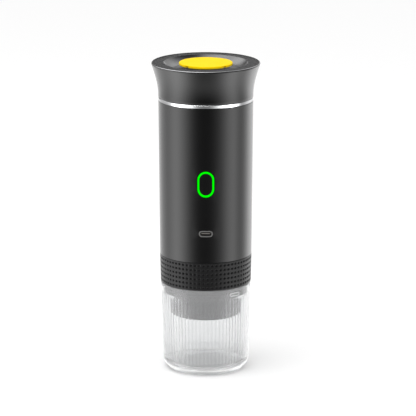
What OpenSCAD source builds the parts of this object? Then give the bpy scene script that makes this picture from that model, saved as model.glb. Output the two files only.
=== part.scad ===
// Portable electric coffee machine, standing on its own cup.
// The axis is Z, the front with the button and the charging port faces -Y, and the origin is on the
// table at the centre of the cup's foot. Sizes are in millimetres.
// The radii follow from the inside out: the pump and the cells round it set the body, and the body
// sets the lid above it and the brew head and the cup below it.

/* [Cup] */
// Height of the cup from the table to its rim
cup_h = 70; // [62:0.1:90]
// How much smaller the cup's radius is at the base than at the rim
cup_taper = 1.75; // [0.5:0.05:3]
// Thickness of the cup's wall
cup_wall = 1.75; // [1.4:0.05:1.9]
// How far the foot ring stands in from the wall above it
foot_inset = 4.5; // [4:0.1:6]

/* [Brew head] */
// Height of the dimpled grip ring
grip_h = 22.4; // [20:0.1:26]
// How much smaller the grip ring's radius is at its bottom than at its top
grip_taper = 0.55; // [0.2:0.05:0.8]
// How far the brewing chamber hangs below the grip ring, inside the cup
chamber_drop = 27.1; // [20:0.1:32]
// Depth of the steel coffee basket
basket_depth = 25; // [18:0.5:26]

/* [Body] */
// Height of the painted body shell
shell_h = 122; // [118:0.5:150]
// How much larger the shell's radius is at its top than at its bottom
shell_flare = 0.95; // [0:0.05:3]
// Thickness of the shell's wall
shell_wall = 1.6; // [1.2:0.1:1.8]
// Height of the bright trim ring
trim_h = 2.8; // [2:0.1:4]

/* [Button and port] */
// How far the button's centre lies below the middle plate
button_drop = 8.7; // [6:0.1:14]
// Width of the light ring round the button
light_w = 13.8; // [11:0.1:16]
// Height of the light ring
light_h = 21.2; // [18:0.1:24]
// Width of the light ring's band
light_band = 1.85; // [1.2:0.05:2.2]
// How far the button travels
button_travel = 0.5; // [0.3:0.05:0.8]
// How far the charging port's centre lies above the control board's lower edge
port_up = 13.6; // [8:0.1:18]

/* [Lid] */
// Height of the lid from the trim ring to its rim
lid_h = 26.7; // [25:0.1:32]
// How far the rim flares out beyond the lid's bottom edge
lid_flare_w = 5.3; // [4.2:0.05:5.6]
// Slope of the flare, in degrees from upright
flare_angle = 16.5; // [14.5:0.5:17]
// Width of the flat ring between the rim and the dish
lid_ring_w = 9.45; // [7:0.05:11]
// Radius of the yellow vent knob
knob_r = 20.8; // [16:0.1:22]
// Thickness of the vent knob
knob_h = 2.5; // [2.5:0.1:3.2]
// How far the vent knob travels when it is pressed
knob_travel = 2; // [1:0.1:2.4]

/* [Inside] */
// Radius of one battery cell
cell_r = 9.1; // [8.8:0.05:9.2]
// Length of one battery cell
cell_h = 65; // [60:0.5:66]
// Outer radius of the pump's coil former
pump_r = 12; // [10:0.1:13]
// Travel of the pump's plunger
pump_travel = 3; // [2:0.25:4]
// Height that the quick thread climbs in one turn
thread_lead = 12; // [9:1:14]

/* [Hidden] */
$fn = 96;

// Overrun of every cut, and the gaps between pieces that fit each other
over = 1;
seam_gap = 0.2;
fit_gap = 0.1;
slide_gap = 0.1;
loose_gap = 0.4;

// Cup: floor, foot, corner and lip
cup_inset = 0.1;
cup_corner_r = 6;
cup_corner_z = 7.6;
corner_end_angle = -60;
foot_w = 2.5;
foot_h = 3.4;
foot_edge = 0.4;
cup_floor_t = 2.2;
cup_inner_corner_r = 4;
lip_r = 0.5;

// Cup: the locating mark moulded on its band
mark_w = 9.6;
mark_h = 3.4;
mark_line = 0.7;
mark_raise = 0.3;
mark_angle = -50;
mark_drop = 5.1;

// Brew head
sleeve_w = 2.9;
grip_gap = 0.1;
grip_edge_r = 0.8;
grip_top_edge_r = 0.3;
skirt_wall = 1.7;
skirt_top_gap = 0.5;
flange_t = 2.6;
collar_h = 7.7;
collar_wall = 2;
collar_gap = 0.35;
chamber_wall = 1.8;
chamber_taper = 0.6;
chamber_floor_t = 2;
drain_r = 3;
valve_r = 6;
valve_t = 1.8;
valve_rim_w = 1.2;
valve_slit_w = 0.4;
valve_slit_l = 5;
oring_r = 0.7;
oring_drop = 4.2;
oring_cup_gap = 0.12;
basket_wall = 0.5;
basket_rim_t = 0.6;
basket_gap = 0.2;
basket_hole_r = 0.55;
basket_ring_step = 3.2;
basket_rings = 5;
cap_h = 7;
cap_spigot_h = 4.5;
cap_wall = 1.6;
cap_edge_r = 1.2;
spout_r = 4.4;
spout_bore_r = 2.6;
spout_drop = 5;

// Quick thread between the body and the two pieces that screw on it
thread_starts = 4;
thread_turns = 0.4;
thread_depth = 1;
thread_sink = 0.3;
thread_foot_w = 1.5;
thread_crest_w = 0.8;
thread_steps_per_turn = 48;
boss_thread_up = 3.4;
neck_thread_up = 1.7;

// Brew base, its boss, the gasket and the shower screen
base_t = 4.5;
boss_h = 16.3;
boss_wall = 3.7;
boss_gap = 1.4;
gasket_t = 3;
gasket_w = 4.8;
gasket_out_gap = 0.4;
screen_t = 0.6;
screen_drop = 1.8;
screen_gap = 0.6;
screen_hole_r = 0.6;
screen_ring_step = 4;
screen_rings = 4;
screen_post_r = 3.4;
screen_screw_l = 3.6;
water_way_r = 1;
water_hole_x = 6;
water_way_rise = 2.9;
barb_r = 2.4;
barb_h = 3.4;
screw_r = 1.1;
screw_head_r = 1.9;
screw_head_h = 1.3;
screw_gap = 0.1;
slot_w = 0.6;
slot_h = 0.7;
base_screw_l = 6;

// Openings in the shell for the button and the port
light_depth = 2.6;
button_gap = 0.15;
button_flange_out = 0.9;
button_flange_t = 0.8;
button_flange_gap = 0.15;
button_post_r = 2;
bezel_w = 10.9;
bezel_h = 4.95;
bezel_recess = 0.1;
bezel_depth = 2.2;
port_w = 8.94;
port_h = 3.2;
port_sheet = 0.3;
port_recess = 0.7;
port_gap = 0.08;
port_back_t = 1.2;
tongue_w = 6.7;
tongue_h = 0.75;
tongue_recess = 0.9;

// Trim ring, neck and tank
trim_w = 2.8;
trim_edge = 0.35;
liner_gap = 0.75;
neck_flange_h = 8;
neck_shoulder_drop = 0.2;
neck_h = 9.4;
neck_wall = 1.6;
neck_wall_gap = 0.3;
tank_wall = 0.6;
tank_lip_w = 1.7;
tank_corner_r = 5;
tank_spigot_r = 2.4;
tank_spigot_bore_r = 1.5;
tank_spigot_h = 5.4;
tank_oring_r = 0.9;
tank_oring_drop = 4;
oring_groove_gap = 0.1;
heater_t = 2.6;
heater_inset = 4.5;
heater_hole_r = 7;
heater_leg_r = 2.5;
heater_leg_h = 1;
heater_leg_inset = 5;
heater_legs = 3;
fuse_r = 2;
fuse_l = 9;
probe_r = 1.6;
probe_l = 7;
sensor_x = 12;
sensor_y = -12;
sleeve_t = 2.6;
sleeve_gap = 0.3;
sleeve_top_gap = 0.3;

// Chassis, cells and their tabs
tray_t = 1.2;
plate_t = 2.4;
chassis_gap = 0.3;
pump_room = 3;
cell_left_angle = 162;
cell_back_angle = 90;
cell_right_angle = 18;
cell_cup_wall = 0.8;
cell_cup_h = 6;
cell_gap = 0.1;
cell_nub_r = 3.2;
cell_nub_h = 0.8;
cell_edge_r = 0.7;
tab_t = 0.3;
tab_w = 8;
post_r = 2;
post_edge = 0.1;
post_angles = [-50, 54, 126, 230];
hose_way_r = 6;

// Control board and what stands on it
board_w = 24;
board_t = 1.6;
board_inset = 8.1;
board_top_gap = 1.6;
board_foot = 4;
board_gap = 0.1;
rail_w = 2;
rail_d = 5;
rail_lip = 2.4;
switch_w = 6;
switch_t = 3.4;
plunger_r = 1.7;
plunger_out = 1.1;
plunger_in = 1.2;
plunger_end_gap = 0.2;
coil_part_r = 4;
coil_part_h = 3.6;
can_r = 3;
can_h = 5.4;
chip_w = 7;
chip_t = 1;
plug_w = 8;
plug_d = 4.5;
plug_h = 5.5;
led_w = 1.6;
led_t = 0.8;
board_screw_l = 4;
board_screw_r = 0.8;
board_screw_head_r = 1.3;
board_screw_up = 4;

// Pump
mount_h = 4;
mount_ledge = 2.2;
mount_cup_h = 4;
mount_hole_r = 4.6;
cradle_wall = 1.4;
cradle_h = 9;
pump_chamber_h = 12;
pump_chamber_r = 8;
spool_flange_t = 1.5;
spool_bore_r = 4.1;
spool_tube_wall = 1.2;
pump_cap_h = 4;
pump_cap_r = 6;
pump_spigot_h = 5;
pump_way_r = 1.2;
pump_floor = 2.4;
piston_r = 2;
piston_end_gap = 0.6;
piston_way_r = 0.9;
plunger_top_gap = 0.3;
pump_spring_h = 8;
pump_spring_r = 3.1;
spring_wire = 0.5;
spring_gap = 0.05;
pump_spring_turns = 5;
coil_gap = 0.1;
coil_inset = 0.5;
frame_lip = 0.4;
frame_t = 1;
frame_gap = 0.2;
hose_free_l = 9;
hose_wall = 1.1;
hose_grip = 3.2;
hose_gap = 0.06;

// Lid
lid_wall = 1.8;
lid_proud = 0.05;
lid_edge = 0.3;
rim_edge_r = 0.9;
flare_start = 1.8;
flare_steps = 12;
rim_w = 1.4;
rim_ledge_w = 1.2;
rim_ledge_h = 1.6;
lid_top_t = 1.7;
lid_top_sink = 0.15;
dish_floor_share = 0.76;
dish_curve_share = 1.6;
dish_steps = 8;
clamp_t = 1.6;
clamp_in_gap = 1.5;
liner_wall = 1.6;
liner_t = 2;
liner_flange_w = 1.2;
seal_t = 2;
seal_w = 3.6;
seal_in_gap = 1.4;
lid_boss_r = 2.8;
lid_boss_inset = 1.8;
lid_screw_l = 6;
lid_screw_angles = [30, 150, 270];

// Vent knob, its stem, washer and spring
knob_gap = 0.95;
knob_edge_r = 0.7;
knob_notch_w = 2;
knob_notch_h = 1;
knob_notch_d = 1.4;
knob_notch_angles = [45, 135, 225, 315];
knob_socket_h = 1.8;
stem_r = 2.2;
stem_gap = 0.3;
stem_collar_r = 5.4;
stem_collar_t = 1.2;
stem_collar_gap = 0.15;
stem_head_r = 3.2;
stem_head_h = 0.8;
washer_r = 6.4;
washer_t = 1.5;
washer_gap = 0.05;
vent_way_r = 3.6;
vent_spring_r = 4.4;
vent_spring_turns = 4;

// Levels, from the table up
z_grip = cup_h + seam_gap;
z_grip_top = z_grip + grip_h;
z_shell = z_grip_top + seam_gap;
z_base_top = z_shell + base_t;
z_trim = z_shell + shell_h;
z_lid = z_trim + trim_h + seam_gap;
z_top = z_lid + lid_h;
z_shoulder = z_trim + trim_h - neck_shoulder_drop;
z_neck_top = z_shoulder + neck_h;
z_lip = z_neck_top + tank_wall;
z_liner = z_lip + seal_t;
z_liner_top = z_liner + liner_t;
z_plate_top = z_top - lid_top_sink;
z_knob = z_top - knob_h;
z_dish = z_knob - knob_travel - knob_gap;
z_dish_under = z_dish - lid_top_t;
z_tray_top = z_base_top + tray_t;
z_cell = z_tray_top + tab_t;
z_cell_top = z_cell + cell_h;
z_plate = z_cell_top + tab_t;
z_heater = z_plate + plate_t + heater_leg_h;
z_tank = z_heater + heater_t;
z_gasket = z_shell - gasket_t;
z_chamber_top = z_gasket - basket_rim_t;
z_chamber_end = z_grip - chamber_drop;
z_cap_top = z_chamber_end + cap_h;
z_floor = z_cap_top + cap_spigot_h;
z_mount = z_tray_top + mount_ledge;
z_pump = z_mount + mount_h;
z_spool = z_pump + pump_chamber_h;
z_spool_top = z_tank - tank_spigot_h - hose_free_l - pump_spigot_h - pump_cap_h;
z_pump_top = z_spool_top + pump_cap_h;
z_plunger = z_spool + pump_spring_h;
piston_l = z_plunger - z_pump - pump_floor - pump_travel - piston_end_gap;
z_board = z_tray_top + board_foot;
board_h = z_plate - z_board - board_top_gap;
button_z = z_plate - button_drop;
port_z = z_board + port_up;
spool_h = z_spool_top - z_spool;
z_stem_collar = z_dish_under - stem_collar_gap - stem_collar_t;
z_washer = z_liner - washer_gap - washer_t;

// Radii of the body, from the pump outwards
cell_orbit_r = pump_r + pump_room + cell_r;
cell_cup_r = cell_r + cell_gap + cell_cup_wall;
chassis_r = cell_orbit_r + cell_cup_r;
shell_in_r = chassis_r + chassis_gap;
base_r = shell_in_r - fit_gap;
shell_bottom_r = shell_in_r + shell_wall;
shell_top_r = shell_bottom_r + shell_flare;
shell_out_r = shell_top_r + over;
post_orbit_r = chassis_r - post_r - post_edge;
board_y = chassis_r - board_inset;

// Radii of the brew head and the cup, from the shell's lower edge inwards
grip_bottom_r = shell_bottom_r - grip_taper;
skirt_r = shell_bottom_r - sleeve_w - grip_gap;
holder_thread_r = skirt_r - skirt_wall;
boss_root_r = holder_thread_r - thread_depth - loose_gap;
boss_in_r = boss_root_r - boss_wall;
chamber_r = boss_in_r - boss_gap;
chamber_in_r = chamber_r - chamber_wall;
chamber_end_r = chamber_r - chamber_taper;
basket_r = chamber_in_r - basket_gap;
gasket_out_r = chamber_r + gasket_out_gap;
gasket_in_r = gasket_out_r - gasket_w;
screen_r = gasket_in_r - screen_gap;
cup_rim_r = grip_bottom_r - cup_inset;
cup_base_r = cup_rim_r - cup_taper;
cup_foot_r = cup_base_r - foot_inset;
cup_mouth_r = cup_rim_r - cup_wall;
collar_r = cup_wall_r(cup_h - collar_h) - cup_wall - collar_gap;
collar_oring_r = cup_wall_r(z_grip - oring_drop) - cup_wall - oring_cup_gap - oring_r;

// Radii of the lid, the neck and the tank, from the shell's upper edge inwards
liner_r = shell_top_r - trim_w - liner_gap;
liner_thread_r = liner_r - liner_wall;
neck_root_r = liner_thread_r - thread_depth - loose_gap;
neck_in_r = neck_root_r - neck_wall;
tank_r = neck_in_r - neck_wall_gap;
tank_lip_r = tank_r + tank_lip_w;
heater_r = tank_r - heater_inset;
lid_neck_r = shell_top_r + lid_proud;
lid_rim_r = lid_neck_r + lid_flare_w;
plate_r = lid_rim_r - rim_w;
dish_r = lid_rim_r - lid_ring_w;
dish_floor_r = dish_r * dish_floor_share;
dish_depth = z_plate_top - z_dish;
lid_screw_orbit_r = dish_floor_r - lid_boss_r - lid_boss_inset;

// Sizes of the button, the pump and what holds them
button_w = light_w - 2 * light_band - 2 * button_gap;
button_h = light_h - 2 * light_band - 2 * button_gap;
button_flange_w = button_w + 2 * button_flange_out;
button_flange_h = button_h + 2 * button_flange_out;
light_in_r = shell_r(button_z - button_flange_h / 2) - light_depth;
flange_y = sqrt(pow(light_in_r, 2) - pow(button_flange_w / 2, 2)) - button_flange_gap;
rail_y = -board_y - (rail_d - board_t) / 2;
port_front_r = shell_r(port_z) - port_recess;
spool_tube_r = spool_bore_r + spool_tube_wall;
frame_w = 2 * (pump_r + frame_gap + frame_t);
frame_d = 2 * (pump_cap_r + fit_gap + frame_lip);

// The flare of the lid: an arc from upright, then a cone up to the rim
z_flare = z_lid + flare_start;
flare_h = z_top - rim_edge_r - z_flare;
flare_arc_r = (lid_neck_r + flare_h * tan(flare_angle) - lid_rim_r)
    / (sin(flare_angle) * tan(flare_angle) - 1 + cos(flare_angle));
flare_arc_h = flare_arc_r * sin(flare_angle);

// Outer radius of the cup, the grip ring, the shell and the lid at a height
function cup_wall_r(z) =
    cup_base_r + (cup_rim_r - cup_base_r) * (z - cup_corner_z) / (cup_h - cup_corner_z);
function shell_r(z) = shell_bottom_r + (shell_top_r - shell_bottom_r) * (z - z_shell) / shell_h;
function flare_r(z) =
    z < z_flare ? lid_neck_r
    : z < z_flare + flare_arc_h
    ? lid_neck_r + flare_arc_r - sqrt(flare_arc_r * flare_arc_r - (z - z_flare) * (z - z_flare))
    : lid_rim_r - (z_top - rim_edge_r - z) * tan(flare_angle);

// Points along an arc about a centre, and along the flare between two heights
function arc(centre, r, from, to, steps = 6) =
    [for (i = [0:steps]) let (a = from + (to - from) * i / steps) centre + r * [cos(a), sin(a)]];
function flare_points(from, to, inset) =
    [for (i = [0:flare_steps]) let (z = from + (to - from) * i / flare_steps)
        [flare_r(z) - inset, z]];

// A tube of a given height, open at both ends
module tube(r_out, r_in, h) {
    difference() {
        cylinder(r = r_out, h = h);
        translate([0, 0, -over]) cylinder(r = r_in, h = h + 2 * over);
    }
}

// A flat outline with round ends, centred on the origin
module pill(w, h) {
    r = min(w, h) / 2;
    dx = w / 2 - r;
    dy = h / 2 - r;
    square([max(2 * dx, r), max(2 * dy, r)], center = true);
    translate([dx, dy]) circle(r = r);
    translate([-dx, -dy]) circle(r = r);
    if (dx > 0) square([2 * dx, 2 * r], center = true);
    if (dy > 0) square([2 * r, 2 * dy], center = true);
}

// Stands a flat outline upright in the front of the body, from one depth out to another
module to_front(z, from, to) {
    translate([0, -from, z]) rotate([90, 0, 0]) linear_extrude(height = to - from) children();
}

// The body's tapered outside, moved inwards by an inset, as one solid
module shell_solid(inset) {
    translate([0, 0, z_shell])
        cylinder(r1 = shell_bottom_r - inset, r2 = shell_top_r - inset, h = shell_h);
}

// A screw that points up from the level where its slotted head bears
module screw(r, l, head_r) {
    difference() {
        union() {
            cylinder(r = r, h = l);
            translate([0, 0, -screw_head_h]) cylinder(r = head_r, h = screw_head_h);
        }
        translate([-head_r - over, -slot_w / 2, -screw_head_h - over])
            cube([2 * (head_r + over), slot_w, slot_h + over]);
    }
}

// The ridges of the quick thread, standing out of a root radius by a signed depth
module thread_ridges(root_r, depth, z_start) {
    steps = round(thread_turns * thread_steps_per_turn);
    back_r = root_r - sign(depth) * thread_sink;
    crest_r = root_r + depth;
    outward = [[back_r, -thread_foot_w / 2], [crest_r, -thread_crest_w / 2],
        [crest_r, thread_crest_w / 2], [back_r, thread_foot_w / 2]];
    section = depth > 0 ? outward : [outward[3], outward[2], outward[1], outward[0]];
    points = [for (i = [0:steps]) let (a = 360 * thread_turns * i / steps)
        for (p = section) [p[0] * cos(a), p[0] * sin(a), z_start + p[1] + thread_lead * a / 360]];
    sides = [for (i = [0:steps - 1]) for (k = [0:3]) let (m = (k + 1) % 4)
        for (t = [[4 * i + k, 4 * i + m, 4 * i + 4 + m], [4 * i + k, 4 * i + 4 + m, 4 * i + 4 + k]])
            t];
    last = 4 * steps;
    ends = [[0, 2, 1], [0, 3, 2], [last, last + 1, last + 2], [last, last + 2, last + 3]];
    for (s = [0:thread_starts - 1])
        rotate([0, 0, 360 * s / thread_starts]) polyhedron(points, concat(sides, ends));
}

// A round wire swept along a list of points, with one ring of corners at each point
module swept_wire(path, r, sides) {
    n = len(path);
    corners = [for (i = [0:n - 1]) let (
            t0 = path[min(i + 1, n - 1)] - path[max(i - 1, 0)],
            u0 = cross(t0, [0, 0, 1]),
            u = u0 / norm(u0),
            v = cross(t0 / norm(t0), u))
        for (k = [0:sides - 1]) let (a = 360 * k / sides) path[i] + r * (cos(a) * u + sin(a) * v)];
    walls = [for (i = [0:n - 2]) for (k = [0:sides - 1]) let (m = (k + 1) % sides)
        for (t = [[sides * i + k, sides * i + m, sides * i + sides + m],
            [sides * i + k, sides * i + sides + m, sides * i + sides + k]]) t];
    first_end = [for (k = [1:sides - 2]) [0, k + 1, k]];
    last = sides * (n - 1);
    last_end = [for (k = [1:sides - 2]) [last, last + k, last + k + 1]];
    polyhedron(corners, concat(walls, first_end, last_end));
}

// A coil spring of a given free height, standing on a level, with one unbroken wire
module coil_spring(z, h, r, turns) {
    steps = 8 * turns;
    wire = spring_wire / 2;
    climb = h - spring_wire - 2 * spring_gap;
    swept_wire([for (i = [0:steps]) let (a = 360 * turns * i / steps)
        [r * cos(a), r * sin(a), z + spring_gap + wire + climb * i / steps]], wire, 6);
}

// Round holes on rings about the axis, with six more holes on each ring outwards
module ring_holes(first, rings, step, r, h) {
    for (ring = [first:rings]) for (k = [0:6 * ring - 1])
        rotate([0, 0, 60 * k / ring]) translate([ring * step, 0, 0]) cylinder(r = r, h = h, $fn = 24);
}

module cup() {
    inner_z = foot_h + cup_floor_t;
    inner_r = cup_wall_r(inner_z + cup_inner_corner_r) - cup_wall;
    foot_in_r = cup_foot_r - foot_w;
    outline = concat(
        [[0, foot_h], [foot_in_r, foot_h], [foot_in_r, foot_edge], [foot_in_r + foot_edge, 0],
            [cup_foot_r - foot_edge, 0], [cup_foot_r, foot_edge]],
        arc([cup_base_r - cup_corner_r, cup_corner_z], cup_corner_r, corner_end_angle, 0),
        arc([cup_rim_r - lip_r, cup_h - lip_r], lip_r, 0, 90, 3),
        [[cup_mouth_r, cup_h]],
        arc([inner_r - cup_inner_corner_r, inner_z + cup_inner_corner_r], cup_inner_corner_r, 0, -90),
        [[0, inner_z]]);
    mark_z = cup_h - mark_drop;
    color([0.93, 0.94, 0.95, 0.45]) {
        rotate_extrude() polygon(outline);
        intersection() {
            translate([0, 0, cup_corner_z])
                tube_cone(cup_base_r + mark_raise, cup_rim_r + mark_raise, cup_h - cup_corner_z);
            rotate([0, 0, mark_angle]) translate([cup_base_r - cup_wall / 2, 0, mark_z])
                rotate([90, 0, 90]) linear_extrude(height = cup_wall + 2 * over) difference() {
                    pill(mark_w, mark_h);
                    pill(mark_w - 2 * mark_line, mark_h - 2 * mark_line);
                }
        }
    }
}

// A tapered tube as thick as the cup's wall and the mark on it
module tube_cone(r1, r2, h) {
    wall = cup_wall / 2 + mark_raise;
    difference() {
        cylinder(r1 = r1, r2 = r2, h = h);
        cylinder(r1 = r1 - wall, r2 = r2 - wall, h = h);
    }
}

module basket_holder() {
    flange_top = z_grip + flange_t;
    skirt_top = z_grip_top - skirt_top_gap;
    z_end = z_grip - collar_h;
    z_groove = z_grip - oring_drop;
    groove_r = collar_oring_r - oring_r - oring_groove_gap;
    valve_in_r = valve_r + fit_gap;
    color([0.12, 0.12, 0.13]) {
        rotate_extrude() polygon([
            [chamber_r, flange_top], [chamber_r, z_chamber_top], [chamber_in_r, z_chamber_top],
            [chamber_in_r, z_floor + chamber_floor_t],
            [valve_in_r + valve_rim_w, z_floor + chamber_floor_t],
            [valve_in_r + valve_rim_w, z_floor + chamber_floor_t + valve_t],
            [valve_in_r, z_floor + chamber_floor_t + valve_t],
            [valve_in_r, z_floor + chamber_floor_t], [drain_r, z_floor + chamber_floor_t],
            [drain_r, z_floor], [chamber_in_r, z_floor], [chamber_in_r, z_cap_top],
            [chamber_end_r, z_cap_top], [chamber_r, z_grip], [collar_r - collar_wall, z_grip],
            [collar_r - collar_wall, z_end], [collar_r, z_end],
            [collar_r, z_groove - oring_r - oring_groove_gap],
            [groove_r, z_groove - oring_r - oring_groove_gap],
            [groove_r, z_groove + oring_r + oring_groove_gap],
            [collar_r, z_groove + oring_r + oring_groove_gap],
            [collar_r, z_grip], [skirt_r, z_grip], [skirt_r, skirt_top],
            [holder_thread_r, skirt_top], [holder_thread_r, flange_top]]);
        thread_ridges(holder_thread_r, -thread_depth,
            z_shell - boss_h + boss_thread_up + thread_lead / thread_starts / 2);
    }
}

module grip_sleeve() {
    color([0.09, 0.09, 0.1]) rotate_extrude() polygon(concat(
        [[skirt_r + grip_gap, z_grip]],
        arc([grip_bottom_r - grip_edge_r, z_grip + grip_edge_r], grip_edge_r, -90, 0, 4),
        arc([shell_bottom_r - grip_top_edge_r, z_grip_top - grip_top_edge_r], grip_top_edge_r,
            0, 90, 2),
        [[skirt_r + grip_gap, z_grip_top]]));
}

module filter_basket() {
    z_end = z_chamber_top - basket_depth;
    in_r = basket_r - basket_wall;
    color([0.75, 0.76, 0.77]) difference() {
        rotate_extrude() polygon([
            [0, z_end], [basket_r, z_end], [basket_r, z_chamber_top],
            [chamber_r - fit_gap, z_chamber_top], [chamber_r - fit_gap, z_gasket],
            [in_r, z_gasket], [in_r, z_end + basket_wall], [0, z_end + basket_wall]]);
        translate([0, 0, z_end - over]) ring_holes(1, basket_rings, basket_ring_step, basket_hole_r,
            basket_wall + 2 * over);
    }
}

module outlet_cap() {
    spigot_r = chamber_in_r - fit_gap;
    z_spout = z_chamber_end - spout_drop;
    z_in = z_chamber_end + cap_wall;
    color([0.14, 0.14, 0.15]) rotate_extrude() polygon(concat(
        [[spout_bore_r, z_spout], [spout_r, z_spout], [spout_r, z_chamber_end]],
        arc([chamber_end_r - cap_edge_r, z_chamber_end + cap_edge_r], cap_edge_r, -90, 0, 4),
        [[chamber_end_r, z_cap_top], [spigot_r, z_cap_top], [spigot_r, z_floor],
            [spigot_r - cap_wall, z_floor], [spigot_r - cap_wall, z_in + cap_wall],
            [spout_bore_r, z_in]]));
}

module crema_valve() {
    color([0.6, 0.6, 0.62]) translate([0, 0, z_floor + chamber_floor_t]) difference() {
        cylinder(r = valve_r, h = valve_t);
        translate([-valve_slit_l / 2, -valve_slit_w / 2, -over])
            cube([valve_slit_l, valve_slit_w, valve_t + 2 * over]);
    }
}

module collar_oring() {
    color([0.55, 0.55, 0.57]) translate([0, 0, z_grip - oring_drop])
        rotate_extrude() translate([collar_oring_r, 0]) circle(r = oring_r, $fn = 24);
}

module head_gasket() {
    color([0.8, 0.3, 0.2]) translate([0, 0, z_gasket]) tube(gasket_out_r, gasket_in_r, gasket_t);
}

module brew_base() {
    z_way = z_shell + water_way_rise;
    post_end = z_shell - screen_drop;
    color([0.2, 0.2, 0.22]) {
        difference() {
            union() {
                translate([0, 0, z_shell]) cylinder(r = base_r, h = base_t);
                translate([0, 0, z_shell - boss_h]) tube(boss_root_r, boss_in_r, boss_h);
                translate([0, 0, post_end]) cylinder(r = screen_post_r, h = screen_drop);
                translate([0, 0, z_base_top]) cylinder(r = barb_r, h = barb_h);
            }
            translate([0, 0, z_way]) cylinder(r = water_way_r, h = z_base_top + barb_h - z_way + over);
            translate([0, 0, z_way]) rotate([0, 90, 0]) cylinder(r = water_way_r, h = water_hole_x);
            translate([water_hole_x, 0, z_shell - over])
                cylinder(r = water_way_r, h = z_way - z_shell + over);
            translate([0, 0, post_end - over])
                cylinder(r = screw_r, h = screen_screw_l - screen_t + over);
            for (a = post_angles) rotate([0, 0, a]) translate([post_orbit_r, 0, z_shell - over]) {
                cylinder(r = screw_r + screw_gap, h = base_t + 2 * over);
                cylinder(r = screw_head_r + screw_gap, h = screw_head_h + over);
            }
        }
        thread_ridges(boss_root_r, thread_depth, z_shell - boss_h + boss_thread_up);
    }
}

module shower_screen() {
    color([0.78, 0.79, 0.8]) translate([0, 0, z_shell - screen_drop - screen_t]) difference() {
        cylinder(r = screen_r, h = screen_t);
        translate([0, 0, -over]) cylinder(r = screw_r + screw_gap, h = screen_t + 2 * over);
        translate([0, 0, -over])
            ring_holes(1, screen_rings, screen_ring_step, screen_hole_r, screen_t + 2 * over);
    }
}

module screen_screw() {
    color([0.7, 0.71, 0.72]) translate([0, 0, z_shell - screen_drop - screen_t])
        screw(screw_r, screen_screw_l, screw_head_r);
}

module base_screws() {
    color([0.6, 0.61, 0.62]) for (a = post_angles) rotate([0, 0, a])
        translate([post_orbit_r, 0, z_shell + screw_head_h]) screw(screw_r, base_screw_l, screw_head_r);
}

module outer_shell() {
    color([0.26, 0.27, 0.29]) difference() {
        shell_solid(0);
        shell_in();
        to_front(button_z, 0, shell_out_r) pill(light_w + 2 * fit_gap, light_h + 2 * fit_gap);
        to_front(port_z, 0, shell_out_r) pill(bezel_w + 2 * fit_gap, bezel_h + 2 * fit_gap);
    }
}

// The room inside the shell
module shell_in() {
    translate([0, 0, z_shell - over]) cylinder(r1 = shell_in_r, r2 = shell_top_r - shell_wall,
        h = shell_h + 2 * over);
}

module trim_ring() {
    in_r = shell_top_r - trim_w;
    z_end = z_trim + trim_h;
    color([0.85, 0.86, 0.87]) rotate_extrude() polygon([
        [in_r, z_trim], [shell_top_r - trim_edge, z_trim], [shell_top_r, z_trim + trim_edge],
        [shell_top_r, z_end - trim_edge], [shell_top_r - trim_edge, z_end], [in_r, z_end]]);
}

module neck_ring() {
    z_end = z_trim - neck_flange_h;
    z_groove = z_trim - tank_oring_drop;
    groove_h = tank_oring_r + oring_groove_gap;
    groove_r = tank_r + 2 * tank_oring_r + oring_groove_gap;
    flange_r = shell_r(z_end) - shell_wall - fit_gap;
    shoulder_r = shell_top_r - trim_w - fit_gap;
    color([0.16, 0.16, 0.17]) {
        rotate_extrude() polygon([
            [neck_in_r, z_end], [flange_r, z_end], [flange_r, z_trim], [shoulder_r, z_trim],
            [shoulder_r, z_shoulder], [neck_root_r, z_shoulder], [neck_root_r, z_neck_top],
            [neck_in_r, z_neck_top], [neck_in_r, z_groove + groove_h], [groove_r, z_groove + groove_h],
            [groove_r, z_groove - groove_h], [neck_in_r, z_groove - groove_h]]);
        thread_ridges(neck_root_r, thread_depth, z_shoulder + neck_thread_up);
    }
}

module water_tank() {
    in_r = tank_r - tank_wall;
    in_corner_r = tank_corner_r - tank_wall;
    color([0.78, 0.79, 0.8]) difference() {
        rotate_extrude() polygon(concat(
            [[0, z_tank - tank_spigot_h], [tank_spigot_r, z_tank - tank_spigot_h],
                [tank_spigot_r, z_tank]],
            arc([tank_r - tank_corner_r, z_tank + tank_corner_r], tank_corner_r, -90, 0),
            [[tank_r, z_neck_top], [tank_lip_r, z_neck_top], [tank_lip_r, z_lip], [in_r, z_lip]],
            arc([in_r - in_corner_r, z_tank + tank_wall + in_corner_r], in_corner_r, 0, -90),
            [[0, z_tank + tank_wall]]));
        translate([0, 0, z_tank - tank_spigot_h - over])
            cylinder(r = tank_spigot_bore_r, h = tank_spigot_h + tank_wall + 2 * over);
    }
}

module tank_oring() {
    color([0.75, 0.3, 0.2]) translate([0, 0, z_trim - tank_oring_drop]) rotate_extrude()
        translate([tank_r + oring_groove_gap / 2 + tank_oring_r, 0]) circle(r = tank_oring_r, $fn = 24);
}

module heater_plate() {
    color([0.7, 0.62, 0.45]) {
        translate([0, 0, z_heater]) tube(heater_r, heater_hole_r, heater_t);
        for (k = [0:heater_legs - 1]) rotate([0, 0, 90 + 360 * k / heater_legs])
            translate([heater_r - heater_leg_inset, 0, z_heater - heater_leg_h])
                cylinder(r = heater_leg_r, h = heater_leg_h + heater_t / 2);
    }
}

// A sensor that stands through the middle plate against the heater
module sensor(side, r, l) {
    translate([side * sensor_x, sensor_y, z_heater - l]) cylinder(r = r, h = l);
}

module thermal_fuse() {
    color([0.85, 0.85, 0.8]) sensor(-1, fuse_r, fuse_l);
}

module temperature_probe() {
    color([0.2, 0.2, 0.22]) sensor(1, probe_r, probe_l);
}

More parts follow.
